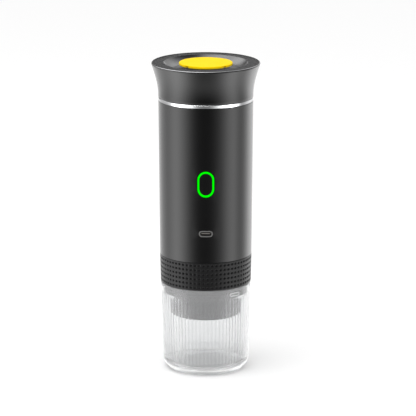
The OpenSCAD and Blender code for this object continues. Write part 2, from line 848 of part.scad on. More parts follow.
module insulation_sleeve() {
    from = z_plate + plate_t;
    color([0.8, 0.8, 0.76]) translate([0, 0, from]) tube(tank_r + sleeve_gap + sleeve_t,
        tank_r + sleeve_gap, z_trim - neck_flange_h - sleeve_top_gap - from);
}

// Moves a piece to the place of one battery cell
module at_cell(angle) {
    rotate([0, 0, angle]) translate([cell_orbit_r, 0, 0]) children();
}

module chassis() {
    plate_top = z_plate + plate_t;
    color([0.3, 0.32, 0.34]) difference() {
        union() {
            translate([0, 0, z_base_top]) cylinder(r = chassis_r, h = tray_t);
            translate([0, 0, z_plate]) cylinder(r = chassis_r, h = plate_t);
            for (a = post_angles) rotate([0, 0, a]) translate([post_orbit_r, 0, z_base_top])
                cylinder(r = post_r, h = z_plate - z_base_top);
            for (a = [cell_left_angle, cell_back_angle, cell_right_angle]) at_cell(a) {
                translate([0, 0, z_base_top]) cylinder(r = cell_cup_r, h = tray_t + cell_cup_h);
                translate([0, 0, z_plate - cell_cup_h])
                    cylinder(r = cell_cup_r, h = cell_cup_h + plate_t / 2);
            }
            translate([0, 0, z_base_top])
                cylinder(r = pump_r + fit_gap + cradle_wall, h = tray_t + cradle_h);
            for (s = [-1, 1]) translate([s * (board_w + rail_w - rail_lip) / 2, rail_y, z_base_top])
                translate([-(rail_w + rail_lip) / 2, 0, 0])
                    cube([rail_w + rail_lip, rail_d, z_plate - z_base_top]);
        }
        for (a = [cell_left_angle, cell_back_angle, cell_right_angle]) at_cell(a)
            translate([0, 0, z_tray_top]) cylinder(r = cell_r + cell_gap, h = z_plate - z_tray_top);
        translate([0, 0, z_mount]) cylinder(r = pump_r + fit_gap, h = z_spool - z_mount);
        translate([0, 0, z_base_top - over])
            cylinder(r = hose_way_r, h = plate_top - z_base_top + 2 * over);
        translate([-board_w / 2 - board_gap, -board_y - board_gap, z_board])
            cube([board_w + 2 * board_gap, board_t + 2 * board_gap, z_plate - z_board]);
        for (a = post_angles) rotate([0, 0, a]) translate([post_orbit_r, 0, z_base_top - over])
            cylinder(r = screw_r, h = base_screw_l + over);
        translate([-sensor_x, sensor_y, z_plate - over])
            cylinder(r = fuse_r + fit_gap, h = plate_t + 2 * over);
        translate([sensor_x, sensor_y, z_plate - over])
            cylinder(r = probe_r + fit_gap, h = plate_t + 2 * over);
        at_board_screws(rail_y - over) cylinder(r = board_screw_r, h = rail_d + over);
        to_front(button_z, flange_y - button_flange_t - button_travel - loose_gap, shell_out_r)
            pill(light_w + 2 * loose_gap, light_h + 2 * loose_gap);
    }
}

// One battery cell: a can with a rounded lower edge and the nub of its positive end
module cell(angle) {
    can_h = cell_h - cell_nub_h;
    color([0.2, 0.45, 0.75]) at_cell(angle) translate([0, 0, z_cell]) rotate_extrude() polygon([
        [0, 0], [cell_r - cell_edge_r, 0], [cell_r, cell_edge_r], [cell_r, can_h - cell_edge_r],
        [cell_r - cell_edge_r, can_h], [cell_nub_r, can_h], [cell_nub_r, cell_h], [0, cell_h]]);
}

module cell_left() {
    cell(cell_left_angle);
}

module cell_back() {
    cell(cell_back_angle);
}

module cell_right() {
    cell(cell_right_angle);
}

module cell_tabs() {
    color([0.75, 0.74, 0.7]) for (a = [cell_left_angle, cell_back_angle, cell_right_angle])
        at_cell(a) for (z = [z_tray_top, z_cell_top])
            translate([-tab_w / 2, -tab_w / 2, z]) cube([tab_w, tab_w, tab_t]);
}

// Moves a piece to each board screw, pointing backwards from a depth
module at_board_screws(y) {
    for (s = [-1, 1]) for (z = [z_board + board_screw_up, z_board + board_h - board_screw_up])
        translate([s * (board_w - rail_lip) / 2, y, z]) rotate([-90, 0, 0]) children();
}

module control_board() {
    color([0.08, 0.35, 0.2]) difference() {
        translate([-board_w / 2, -board_y, z_board]) cube([board_w, board_t, board_h]);
        at_board_screws(-board_y - over)
            cylinder(r = board_screw_r + fit_gap, h = board_t + 2 * over);
    }
}

module board_parts() {
    back = -board_y + board_t;
    color([0.15, 0.15, 0.16]) {
        translate([-board_w / 5, back, z_board + board_h / 5]) rotate([-90, 0, 0])
            cylinder(r = coil_part_r, h = coil_part_h);
        translate([board_w / 5, back, z_board + board_h / 5]) rotate([-90, 0, 0])
            cylinder(r = can_r, h = can_h);
        translate([-chip_w / 2, back, z_board + board_h * 2 / 5]) cube([chip_w, chip_t, chip_w]);
        translate([-plug_w - chip_t, back, z_board + board_h * 3 / 4]) cube([plug_w, plug_d, plug_h]);
        translate([chip_t, back, z_board + board_h * 3 / 4]) cube([plug_w, plug_d, plug_h]);
        for (sx = [-1, 1]) for (sz = [-1, 1])
            translate([sx * (switch_w / 2 + led_w) - led_w / 2, -board_y - led_t,
                button_z + sz * (switch_w / 2 + led_w) - led_w / 2]) cube([led_w, led_t, led_w]);
    }
}

module board_screws() {
    color([0.6, 0.61, 0.62]) at_board_screws(rail_y)
        screw(board_screw_r, board_screw_l, board_screw_head_r);
}

module switch_body() {
    color([0.75, 0.76, 0.77]) difference() {
        translate([-switch_w / 2, -board_y - switch_t, button_z - switch_w / 2])
            cube([switch_w, switch_t, switch_w]);
        translate([0, -board_y - switch_t + plunger_in + button_travel + plunger_end_gap, button_z])
            rotate([90, 0, 0]) cylinder(r = plunger_r + slide_gap, h = switch_t + over);
    }
}

module switch_plunger() {
    color([0.1, 0.1, 0.1]) translate([0, -board_y - switch_t + plunger_in, button_z])
        rotate([90, 0, 0]) cylinder(r = plunger_r, h = plunger_in + plunger_out);
}

module button_cap() {
    post_from = board_y + switch_t + plunger_out;
    color([0.3, 0.31, 0.33]) {
        intersection() {
            shell_solid(0);
            to_front(button_z, flange_y - button_flange_t, shell_out_r) pill(button_w, button_h);
        }
        to_front(button_z, flange_y - button_flange_t, flange_y)
            pill(button_flange_w, button_flange_h);
        to_front(button_z, post_from, flange_y) circle(r = button_post_r);
    }
}

module light_ring() {
    color([0.2, 0.95, 0.2]) intersection() {
        difference() {
            shell_solid(0);
            shell_solid(light_depth);
        }
        to_front(button_z, 0, shell_out_r) difference() {
            pill(light_w, light_h);
            pill(light_w - 2 * light_band, light_h - 2 * light_band);
        }
    }
}

module port_bezel() {
    color([0.5, 0.51, 0.53]) intersection() {
        difference() {
            shell_solid(bezel_recess);
            shell_solid(bezel_recess + bezel_depth);
        }
        to_front(port_z, 0, shell_out_r) difference() {
            pill(bezel_w, bezel_h);
            pill(port_w + 2 * port_gap, port_h + 2 * port_gap);
        }
    }
}

module port_shell() {
    color([0.7, 0.71, 0.73]) difference() {
        to_front(port_z, board_y, port_front_r) pill(port_w, port_h);
        to_front(port_z, board_y + port_back_t, port_front_r + over)
            pill(port_w - 2 * port_sheet, port_h - 2 * port_sheet);
    }
}

module port_tongue() {
    color([0.35, 0.36, 0.38]) translate([-tongue_w / 2, -port_front_r + tongue_recess,
        port_z - tongue_h / 2])
        cube([tongue_w, port_front_r - tongue_recess - board_y - port_back_t, tongue_h]);
}

module pump_body() {
    color([0.15, 0.15, 0.16]) difference() {
        union() {
            translate([0, 0, z_pump - barb_h]) cylinder(r = barb_r, h = barb_h);
            translate([0, 0, z_pump]) cylinder(r = pump_chamber_r, h = pump_chamber_h);
            translate([0, 0, z_spool]) cylinder(r = pump_r, h = spool_flange_t);
            translate([0, 0, z_spool]) cylinder(r = spool_tube_r, h = spool_h);
            translate([0, 0, z_spool_top - spool_flange_t])
                cylinder(r = pump_r, h = spool_flange_t);
            translate([0, 0, z_spool_top]) cylinder(r = pump_cap_r, h = pump_cap_h);
            translate([0, 0, z_pump_top]) cylinder(r = barb_r, h = pump_spigot_h);
        }
        translate([0, 0, z_pump - barb_h - over])
            cylinder(r = pump_way_r, h = z_pump_top + pump_spigot_h - z_pump + barb_h + 2 * over);
        translate([0, 0, z_pump + pump_floor])
            cylinder(r = piston_r + slide_gap, h = z_spool - z_pump);
        translate([0, 0, z_spool]) cylinder(r = spool_bore_r, h = spool_h);
    }
}

module pump_coil() {
    color([0.72, 0.4, 0.2]) translate([0, 0, z_spool + spool_flange_t + coil_gap])
        tube(pump_r - coil_inset, spool_tube_r + coil_gap,
            spool_h - 2 * spool_flange_t - 2 * coil_gap);
}

module pump_frame() {
    in_w = frame_w - 2 * frame_t;
    color([0.6, 0.61, 0.63]) difference() {
        translate([-frame_w / 2, -frame_d / 2, z_spool - frame_t])
            cube([frame_w, frame_d, spool_h + 2 * frame_t]);
        translate([-in_w / 2, -frame_d / 2 - over, z_spool])
            cube([in_w, frame_d + 2 * over, spool_h]);
        translate([0, 0, z_spool - frame_t - over])
            cylinder(r = pump_chamber_r + fit_gap, h = frame_t + 2 * over);
        translate([0, 0, z_spool_top - over]) cylinder(r = pump_cap_r + fit_gap, h = frame_t + 2 * over);
    }
}

module pump_mount() {
    color([0.1, 0.1, 0.1]) translate([0, 0, z_mount]) difference() {
        cylinder(r = pump_r, h = mount_h + mount_cup_h);
        translate([0, 0, -over]) cylinder(r = mount_hole_r, h = mount_h + 2 * over);
        translate([0, 0, mount_h]) cylinder(r = pump_chamber_r + fit_gap, h = mount_cup_h + over);
    }
}

module pump_plunger() {
    color([0.75, 0.76, 0.78]) difference() {
        union() {
            translate([0, 0, z_plunger])
                cylinder(r = spool_bore_r - slide_gap, h = z_spool_top - plunger_top_gap - z_plunger);
            translate([0, 0, z_plunger - piston_l]) cylinder(r = piston_r, h = piston_l);
        }
        translate([0, 0, z_plunger - piston_l - over])
            cylinder(r = piston_way_r, h = z_spool_top - z_plunger + piston_l + 2 * over);
    }
}

module pump_spring() {
    color([0.8, 0.8, 0.8]) coil_spring(z_spool, pump_spring_h, pump_spring_r, pump_spring_turns);
}

// A straight hose pushed over the spigots at both of its ends
module hose(from, to) {
    in_r = barb_r + hose_gap;
    translate([0, 0, from]) tube(in_r + hose_wall, in_r, to - from);
}

module inlet_hose() {
    color([0.85, 0.87, 0.88])
        hose(z_pump_top + pump_spigot_h - hose_grip, z_tank - tank_spigot_h + hose_grip);
}

module outlet_hose() {
    color([0.85, 0.87, 0.88]) hose(z_base_top + barb_h - hose_grip, z_pump - barb_h + hose_grip);
}

module lid_collar() {
    z_seat = z_plate_top - lid_top_t;
    z_clamp = z_liner_top + clamp_t;
    in_r = liner_r + liner_flange_w - clamp_in_gap;
    color([0.26, 0.27, 0.29]) rotate_extrude() polygon(concat(
        [[lid_neck_r - lid_wall, z_lid], [lid_neck_r - lid_edge, z_lid],
            [lid_neck_r, z_lid + lid_edge]],
        flare_points(z_flare, z_top - rim_edge_r, 0),
        arc([lid_rim_r - rim_edge_r, z_top - rim_edge_r], rim_edge_r, 0, 90, 4),
        [[plate_r, z_top], [plate_r, z_seat], [plate_r - rim_ledge_w, z_seat],
            [plate_r - rim_ledge_w, z_seat - rim_ledge_h]],
        flare_points(z_seat - 2 * rim_ledge_h, z_clamp, lid_wall),
        [[in_r, z_clamp], [in_r, z_liner_top]],
        flare_points(z_liner_top, z_flare, lid_wall)));
}

// Height of the dish's surface above its floor at a radius
function dish_rise(r) =
    dish_depth * pow((r - dish_floor_r) / (dish_r - dish_floor_r), dish_curve_share);

module lid_top() {
    dish_points = [for (i = [0:dish_steps])
        let (r = dish_floor_r + (dish_r - dish_floor_r) * i / dish_steps) [r, dish_rise(r)]];
    top = [for (p = dish_points) [p[0], z_dish + p[1]]];
    under = [for (i = [dish_steps:-1:0]) let (p = dish_points[i])
        [p[0] + lid_top_t * p[1] / dish_depth, z_dish_under + p[1]]];
    way_r = stem_r + stem_gap;
    color([0.13, 0.13, 0.14]) {
        rotate_extrude() polygon(concat(
            [[way_r, z_dish_under], [way_r, z_dish]], top,
            [[plate_r - fit_gap, z_plate_top], [plate_r - fit_gap, z_plate_top - lid_top_t]], under));
        difference() {
            for (a = lid_screw_angles) rotate([0, 0, a])
                translate([lid_screw_orbit_r, 0, z_liner_top])
                    cylinder(r = lid_boss_r, h = z_dish_under - z_liner_top + lid_top_t / 2);
            for (a = lid_screw_angles) rotate([0, 0, a])
                translate([lid_screw_orbit_r, 0, z_liner_top - over])
                    cylinder(r = screw_r, h = lid_screw_l - liner_t + over);
        }
    }
}

module lid_liner() {
    flange_r = liner_r + liner_flange_w;
    color([0.16, 0.16, 0.17]) {
        difference() {
            rotate_extrude() polygon([
                [vent_way_r, z_liner], [liner_thread_r, z_liner], [liner_thread_r, z_lid],
                [liner_r, z_lid], [liner_r, z_liner], [flange_r, z_liner], [flange_r, z_liner_top],
                [vent_way_r, z_liner_top]]);
            for (a = lid_screw_angles) rotate([0, 0, a])
                translate([lid_screw_orbit_r, 0, z_liner - over])
                    cylinder(r = screw_r + screw_gap, h = liner_t + 2 * over);
        }
        thread_ridges(liner_thread_r, -thread_depth,
            z_shoulder + neck_thread_up + thread_lead / thread_starts / 2);
    }
}

module lid_seal() {
    out_r = liner_thread_r - thread_depth - seal_in_gap / 2;
    color([0.8, 0.3, 0.2]) translate([0, 0, z_lip]) tube(out_r, out_r - seal_w, seal_t);
}

module vent_knob() {
    top = z_knob + knob_h;
    color([0.98, 0.83, 0.1]) difference() {
        rotate_extrude() polygon(concat(
            [[0, z_knob], [knob_r - knob_edge_r / 2, z_knob], [knob_r, z_knob + knob_edge_r / 2]],
            arc([knob_r - knob_edge_r, top - knob_edge_r], knob_edge_r, 0, 90, 4),
            [[0, top]]));
        translate([0, 0, z_knob - over]) cylinder(r = stem_r + fit_gap, h = knob_socket_h + over);
        for (a = knob_notch_angles) rotate([0, 0, a])
            translate([knob_r - knob_notch_d, -knob_notch_w / 2, z_knob - over])
                cube([knob_notch_d + over, knob_notch_w, knob_notch_h + over]);
    }
}

module vent_stem() {
    color([0.7, 0.71, 0.73]) rotate_extrude() polygon([
        [0, z_washer - stem_head_h], [stem_head_r, z_washer - stem_head_h], [stem_head_r, z_washer],
        [stem_r, z_washer], [stem_r, z_stem_collar], [stem_collar_r, z_stem_collar],
        [stem_collar_r, z_stem_collar + stem_collar_t], [stem_r, z_stem_collar + stem_collar_t],
        [stem_r, z_knob + knob_socket_h], [0, z_knob + knob_socket_h]]);
}

module vent_washer() {
    color([0.8, 0.3, 0.2]) translate([0, 0, z_washer]) tube(washer_r, stem_r + washer_gap, washer_t);
}

module vent_spring() {
    color([0.8, 0.8, 0.8]) coil_spring(z_liner_top, z_stem_collar - z_liner_top, vent_spring_r,
        vent_spring_turns);
}

module lid_screws() {
    color([0.6, 0.61, 0.62]) for (a = lid_screw_angles) rotate([0, 0, a])
        translate([lid_screw_orbit_r, 0, z_liner]) screw(screw_r, lid_screw_l, screw_head_r);
}

cup();
basket_holder();
grip_sleeve();
filter_basket();
outlet_cap();
crema_valve();
collar_oring();
head_gasket();
brew_base();
shower_screen();
screen_screw();
base_screws();
outer_shell();
trim_ring();
neck_ring();
water_tank();
tank_oring();
heater_plate();
thermal_fuse();
temperature_probe();
insulation_sleeve();
chassis();
cell_left();
cell_back();
cell_right();
cell_tabs();
control_board();
board_parts();
board_screws();
switch_body();
switch_plunger();
button_cap();
light_ring();
port_bezel();
port_shell();
port_tongue();
pump_body();
pump_coil();
pump_frame();
pump_mount();
pump_plunger();
pump_spring();
inlet_hose();
outlet_hose();
lid_collar();
lid_top();
lid_liner();
lid_seal();
vent_knob();
vent_stem();
vent_washer();
vent_spring();
lid_screws();
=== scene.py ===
import math
import bpy
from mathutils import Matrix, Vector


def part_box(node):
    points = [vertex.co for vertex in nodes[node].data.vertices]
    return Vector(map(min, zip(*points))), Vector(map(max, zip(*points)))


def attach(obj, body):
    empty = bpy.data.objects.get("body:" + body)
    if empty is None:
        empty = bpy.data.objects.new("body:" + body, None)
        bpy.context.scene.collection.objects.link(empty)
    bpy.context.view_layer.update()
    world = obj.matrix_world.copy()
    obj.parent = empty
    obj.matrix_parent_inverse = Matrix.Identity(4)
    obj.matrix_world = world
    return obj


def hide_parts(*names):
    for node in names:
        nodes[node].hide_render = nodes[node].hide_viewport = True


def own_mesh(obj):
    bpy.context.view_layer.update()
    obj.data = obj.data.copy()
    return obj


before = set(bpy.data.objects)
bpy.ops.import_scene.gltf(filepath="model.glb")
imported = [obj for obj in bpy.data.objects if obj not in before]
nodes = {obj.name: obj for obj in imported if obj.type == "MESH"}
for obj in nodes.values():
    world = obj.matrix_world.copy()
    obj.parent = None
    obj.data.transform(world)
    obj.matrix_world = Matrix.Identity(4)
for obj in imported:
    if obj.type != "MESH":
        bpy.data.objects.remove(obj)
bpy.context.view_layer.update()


# ---- Studio: a pale seamless floor, and a long lens a little above the lid. The world holds the
# soft boxes, bright to the left and right and dark where the camera stands, and shows them only to
# what mirrors it. All else gets an even light, and two disc lamps add the shadows.
scene = bpy.context.scene
scene.view_settings.view_transform = 'Standard'

bpy.ops.object.camera_add(location=(0.0017, -2.1795, 0.6592),
                          rotation=(math.radians(76.305), 0, 0))
camera = bpy.context.object
camera.data.lens = 247.6
camera.data.sensor_width = 36
scene.camera = camera

bpy.ops.mesh.primitive_plane_add(size=16, location=(0, 0, 0))
floor = bpy.context.object
floor.name = "floor"
floor.visible_glossy = False
floor_finish = bpy.data.materials.new("floor")
floor_finish.use_nodes = True
floor_shader = floor_finish.node_tree.nodes["Principled BSDF"]
floor_shader.inputs["Base Color"].default_value = (0.97, 0.97, 0.97, 1)
floor_shader.inputs["Roughness"].default_value = 0.9
floor_shader.inputs["Specular IOR Level"].default_value = 0.0
floor_shader.inputs["Emission Color"].default_value = (1, 1, 1, 1)
floor_shader.inputs["Emission Strength"].default_value = 0.07
floor.data.materials.append(floor_finish)

world = bpy.data.worlds.new("studio")
scene.world = world
world.use_nodes = True
sky = world.node_tree
sky.nodes.clear()
direction = sky.nodes.new("ShaderNodeTexCoord")
direction_parts = sky.nodes.new("ShaderNodeSeparateXYZ")
sky.links.new(direction.outputs["Generated"], direction_parts.inputs[0])
to_right, to_back, upwards = direction_parts.outputs


def feed(tree, socket, value):
    """Links another node's output to the socket, or sets the socket to a plain value"""
    if isinstance(value, bpy.types.NodeSocket):
        tree.links.new(value, socket)
    else:
        socket.default_value = value


def math_step(tree, operation, *values):
    step = tree.nodes.new("ShaderNodeMath")
    step.operation = operation
    for socket, value in zip(step.inputs, values):
        feed(tree, socket, value)
    return step.outputs[0]


def ramp(tree, value, stops):
    """Levels that run between the given stops, each a place from 0 to 1 and a level"""
    made = tree.nodes.new("ShaderNodeValToRGB")
    stop = made.color_ramp.elements[0]
    made.color_ramp.elements.remove(made.color_ramp.elements[1])
    for place, level in stops:
        stop.position = place
        stop.color = (level, level, level, 1)
        if (place, level) != stops[-1]:
            stop = made.color_ramp.elements.new(min(place + 0.0001, 1))
    tree.links.new(value, made.inputs[0])
    return made.outputs[0]


def rising(value, start, end):
    """Nothing up to the start, and all of it from the end on"""
    return ramp(sky, value, ((0.001, 0), (start, 0), (end, 1), (0.999, 1)))


def sky_mix(share, a, b):
    mixed = sky.nodes.new("ShaderNodeMix")
    for place, value in ((0, share), (2, a), (3, b)):
        feed(sky, mixed.inputs[place], value)
    return mixed.outputs[0]


def towards(right, back, up):
    """How nearly a direction points the given way"""
    level = math_step(sky, 'ADD', math_step(sky, 'MULTIPLY', to_right, right),
                      math_step(sky, 'MULTIPLY', to_back, back))
    return math_step(sky, 'ADD', level, math_step(sky, 'MULTIPLY', upwards, up))


angle_round = math_step(sky, 'ARCTAN2', to_right, math_step(sky, 'MULTIPLY', to_back, -1))
turn_share = math_step(sky, 'MULTIPLY', angle_round, 1 / (2 * math.pi))
round_share = math_step(sky, 'ADD', turn_share, 0.5)
height_share = math_step(sky, 'MULTIPLY_ADD', upwards, 0.5, 0.5)


def lights_round(*stops):
    """Light levels at angles round from the camera's side, negative to the left"""
    brightest = max(level for angle, level in stops)
    shares = [((angle + 180) / 360, level / brightest) for angle, level in stops]
    return math_step(sky, 'MULTIPLY', ramp(sky, round_share, shares), brightest)


# Level with the machine: two long boxes that fade towards the camera, and the pale wall behind
boxes = lights_round(
    (-179.9, 1.75), (-142, 2.3), (-124, 2.5), (-109, 2.9), (-96, 4.75), (-86, 6.95), (-77, 8.2),
    (-70, 8.0), (-60, 6.5), (-50, 4.4), (-42, 2.8), (-34, 1.6), (-27, 0.82), (-19, 0.43),
    (-10, 0.27), (0, 0.25), (10, 0.30), (18, 0.55), (25, 0.95), (33, 1.6), (40, 2.6), (48, 4.0),
    (56, 5.7), (65, 6.8), (74, 6.7), (84, 4.2), (94, 2.6), (105, 2.7), (118, 3.95), (134, 4.4),
    (150, 2.6), (179.9, 1.75))
# Higher up: one bright box to the left, a dim one behind to the right, and dark between them
upper = lights_round(
    (-179.9, 0.04), (-165, 0.05), (-145, 0.3), (-128, 3.0), (-115, 5.5), (-95, 5.5), (-65, 3.0),
    (-30, 0.4), (0, 0.12), (30, 0.05), (120, 0.02), (140, 1.3), (168, 1.3), (175, 0.06),
    (179.9, 0.04))
mirrored = sky_mix(rising(height_share, 0.53, 0.585), boxes, upper)
# Overhead, to the left: a broad box
overhead_light = 6.5
overhead = rising(towards(-0.60, 0.10, 0.79), 0.56, 0.92)
mirrored = sky_mix(overhead, mirrored, overhead_light)
# High behind the machine, a little to the right: a paler part of the wall, for the lid's dish
wall_light = 1.7
pale_wall = rising(towards(0.36, 0.60, 0.71), 0.87, 0.97)
mirrored = math_step(sky, 'ADD', mirrored, math_step(sky, 'MULTIPLY', pale_wall, wall_light))
# Below: what the floor near the machine gives back
floor_light = 2.5
near_floor = ramp(sky, height_share, (
    (0.001, 0), (0.07, 0), (0.11, 0), (0.125, 0.5), (0.14, 1), (0.16, 1), (0.19, 0.77),
    (0.22, 0.56), (0.26, 0.36), (0.30, 0.2), (0.34, 0.09), (0.38, 0), (0.999, 0)))
mirrored = math_step(sky, 'ADD', mirrored, math_step(sky, 'MULTIPLY', near_floor, floor_light))

even_light = 1.12
ray = sky.nodes.new("ShaderNodeLightPath")
not_through = math_step(sky, 'SUBTRACT', 1.0, ray.outputs["Is Transmission Ray"])
reflecting = math_step(sky, 'MULTIPLY', ray.outputs["Is Glossy Ray"], not_through)
sky_light = sky.nodes.new("ShaderNodeBackground")
sky_out = sky.nodes.new("ShaderNodeOutputWorld")
feed(sky, sky_light.inputs["Strength"], sky_mix(reflecting, even_light, mirrored))
sky.links.new(sky_light.outputs[0], sky_out.inputs[0])

middle_z = 0.12


def soft_lamp(name, place, size, power):
    """A disc lamp that looks at the middle of the machine"""
    bpy.ops.object.light_add(type='AREA', location=place)
    lamp = bpy.context.object
    lamp.name = name
    lamp.data.shape = 'DISK'
    lamp.data.size = size
    lamp.data.energy = power
    aim = lamp.location.copy()
    aim.z -= middle_z
    lamp.rotation_euler = aim.to_track_quat('Z', 'Y').to_euler()
    lamp.visible_camera = False
    return lamp


soft_lamp("key_lamp", (-0.33, -0.25, 1.2), 1.0, 4.6)
fill = soft_lamp("fill_lamp", (0.25, -1.7, 0.55), 0.9, 3.0)
fill.visible_glossy = False


# ---- Cup: frosted clear plastic, moulded in one shot with fine flutes on the inside of its wall,
# a smooth band at the top where the brew head's collar sits, and a foot ring to stand on.
mm = 0.001
pole_r = 0.001 * mm


def clear_selection():
    bpy.ops.object.select_all(action='DESELECT')


def arc(centre, radius, start, end, steps):
    """Points of an arc in the outline's plane, with the angles in degrees"""
    angles = [math.radians(start + (end - start) * i / steps) for i in range(steps + 1)]
    return [(centre[0] + radius * math.cos(a), centre[1] + radius * math.sin(a)) for a in angles]


def turned(name, outline, columns):
    """Turns an outline of (radius, height) points about the machine's axis, ring by ring"""
    clear_selection()
    radius, height = outline[0]
    bpy.ops.mesh.primitive_circle_add(vertices=columns, radius=radius, location=(0, 0, height))
    piece = bpy.context.object
    piece.name = piece.data.name = name
    bpy.ops.object.transform_apply(location=True, rotation=True, scale=True)
    bpy.ops.object.mode_set(mode='EDIT')
    bpy.ops.mesh.select_mode(type='VERT')
    bpy.ops.mesh.select_all(action='SELECT')
    for next_radius, next_height in outline[1:]:
        bpy.ops.mesh.extrude_region_move(
            TRANSFORM_OT_translate={"value": (0, 0, next_height - height)})
        grow = next_radius / radius
        bpy.ops.transform.resize(value=(grow, grow, 1), center_override=(0, 0, 0))
        radius, height = next_radius, next_height
    bpy.ops.mesh.select_all(action='SELECT')
    bpy.ops.mesh.remove_doubles(threshold=0.002 * mm)
    bpy.ops.mesh.normals_make_consistent(inside=False)
    bpy.ops.object.mode_set(mode='OBJECT')
    return piece


def pick(piece, kind, wanted):
    """Opens the piece for editing, with the vertices, edges or faces selected that are wanted"""
    clear_selection()
    piece.select_set(True)
    bpy.context.view_layer.objects.active = piece
    mesh = piece.data
    for group in (mesh.vertices, mesh.edges, mesh.polygons):
        group.foreach_set("select", [False] * len(group))
    for element in {'VERT': mesh.vertices, 'EDGE': mesh.edges, 'FACE': mesh.polygons}[kind]:
        element.select = wanted(element)
    scene.tool_settings.mesh_select_mode = [kind == each for each in ('VERT', 'EDGE', 'FACE')]
    bpy.ops.object.mode_set(mode='EDIT')


def smooth(piece, angle):
    """Shades the piece smooth, apart from edges sharper than the angle in degrees"""
    clear_selection()
    piece.select_set(True)
    bpy.context.view_layer.objects.active = piece
    bpy.ops.object.shade_smooth_by_angle(angle=math.radians(angle))


def axis_distance(point):
    return math.hypot(point[0], point[1])


flutes, flute_columns = 72, 8
flute_d, outer_flute_d = 0.6 * mm, 0.12 * mm
flute_low, flute_high = 9.3 * mm, 60.5 * mm
cup_under, cup_floor, band_z, brim_z = 3.4 * mm, 5.6 * mm, 65.4 * mm, 69.45 * mm
foot_edge_r, corner_r, brim_edge_r, floor_edge_r = 0.5 * mm, 6.0 * mm, 0.55 * mm, 4.0 * mm
cup_outline = (
    [(pole_r, cup_under), (14 * mm, cup_under), (25.6 * mm, cup_under)]
    + arc((26.0 * mm, 2.8 * mm), 0.6 * mm, 90, 0, 4)
    + arc((27.1 * mm, 0.5 * mm), foot_edge_r, 180, 270, 4)
    + arc((28.6 * mm, 0.5 * mm), foot_edge_r, 270, 360, 4)
    + [(29.15 * mm, 1.1 * mm), (29.5 * mm, 1.7 * mm)]
    + arc((27.6 * mm, 7.6 * mm), corner_r, -66, 0, 10)
    + [(33.63 * mm, 8.6 * mm), (33.65 * mm, flute_low), (33.85 * mm, 16.6 * mm),
       (34.7 * mm, 47 * mm), (35.07 * mm, flute_high), (35.09 * mm, flute_high + 0.8 * mm),
       (35.21 * mm, band_z)]
    + arc((34.8 * mm, brim_z), brim_edge_r, 0, 90, 4)
    + arc((34.15 * mm, brim_z), brim_edge_r, 90, 180, 4)
    + [(33.48 * mm, band_z), (33.42 * mm, 63.2 * mm), (33.36 * mm, flute_high + 0.6 * mm),
       (33.34 * mm, flute_high), (33.2 * mm, 56 * mm), (32.6 * mm, 34 * mm),
       (32.1 * mm, 16 * mm), (31.95 * mm, 10.6 * mm), (31.93 * mm, flute_low)]
    + arc((27.9 * mm, 9.6 * mm), floor_edge_r, 0, -90, 8)
    + [(14 * mm, cup_floor), (pole_r, cup_floor)])
cup = turned("frosted_cup", cup_outline, flutes * flute_columns)

# Each flute is pressed into the wall in steps, deep on the inside and faint on the outside.
wall_from_r, wall_middle_r, wall_slope, wall_r = 31.5 * mm, 32.6 * mm, 0.03, 33 * mm


def in_groove(vertex, phase, outside):
    """Whether a vertex of the fluted wall is phase columns from a rib, on the side given"""
    radius, z = axis_distance(vertex.co), vertex.co.z
    if not flute_low - 0.01 * mm < z < flute_high + 0.01 * mm or radius < wall_from_r:
        return False
    turn = math.atan2(vertex.co.y, vertex.co.x) / (2 * math.pi)
    column = round(turn * flutes * flute_columns) % flute_columns
    wall_middle = wall_middle_r + wall_slope * (z - flute_low)
    return min(column, flute_columns - column) == phase and outside == (radius > wall_middle)


for outside, depth in ((False, flute_d), (True, -outer_flute_d)):
    for phase, share in ((1, 0.15), (2, 0.5), (3, 0.85), (4, 1.0)):
        pick(cup, 'VERT', lambda vertex: in_groove(vertex, phase, outside))
        grow = 1 + share * depth / wall_r
        bpy.ops.transform.resize(value=(grow, grow, 1), center_override=(0, 0, 0))
        bpy.ops.object.mode_set(mode='OBJECT')
smooth(cup, 40)


def mix_colours(tree, share, a, b):
    """Colour a where the share is 0 and colour b where it is 1"""
    mixed = tree.nodes.new("ShaderNodeMix")
    mixed.data_type = 'RGBA'
    for place, value in ((0, share), (6, a), (7, b)):
        feed(tree, mixed.inputs[place], value)
    return mixed.outputs[2]


def noise(tree, vector, fineness, detail):
    made = tree.nodes.new("ShaderNodeTexNoise")
    made.inputs["Detail"].default_value = detail
    tree.links.new(vector, made.inputs["Vector"])
    feed(tree, made.inputs["Scale"], fineness)
    return made.outputs["Fac"]


surface_inputs = (("Colour", 'NodeSocketColor', (0.5, 0.5, 0.5, 1)),
                  ("Second Colour", 'NodeSocketColor', (0.5, 0.5, 0.5, 1)),
                  ("Roughness", 'NodeSocketFloat', 0.5), ("Spread", 'NodeSocketFloat', 0.1),
                  ("Fineness", 'NodeSocketFloat', 1500.0))
surface_outputs = (("Colour", 'NodeSocketColor'), ("Roughness", 'NodeSocketFloat'),
                   ("Height", 'NodeSocketFloat'))
broad_fineness = 90.0


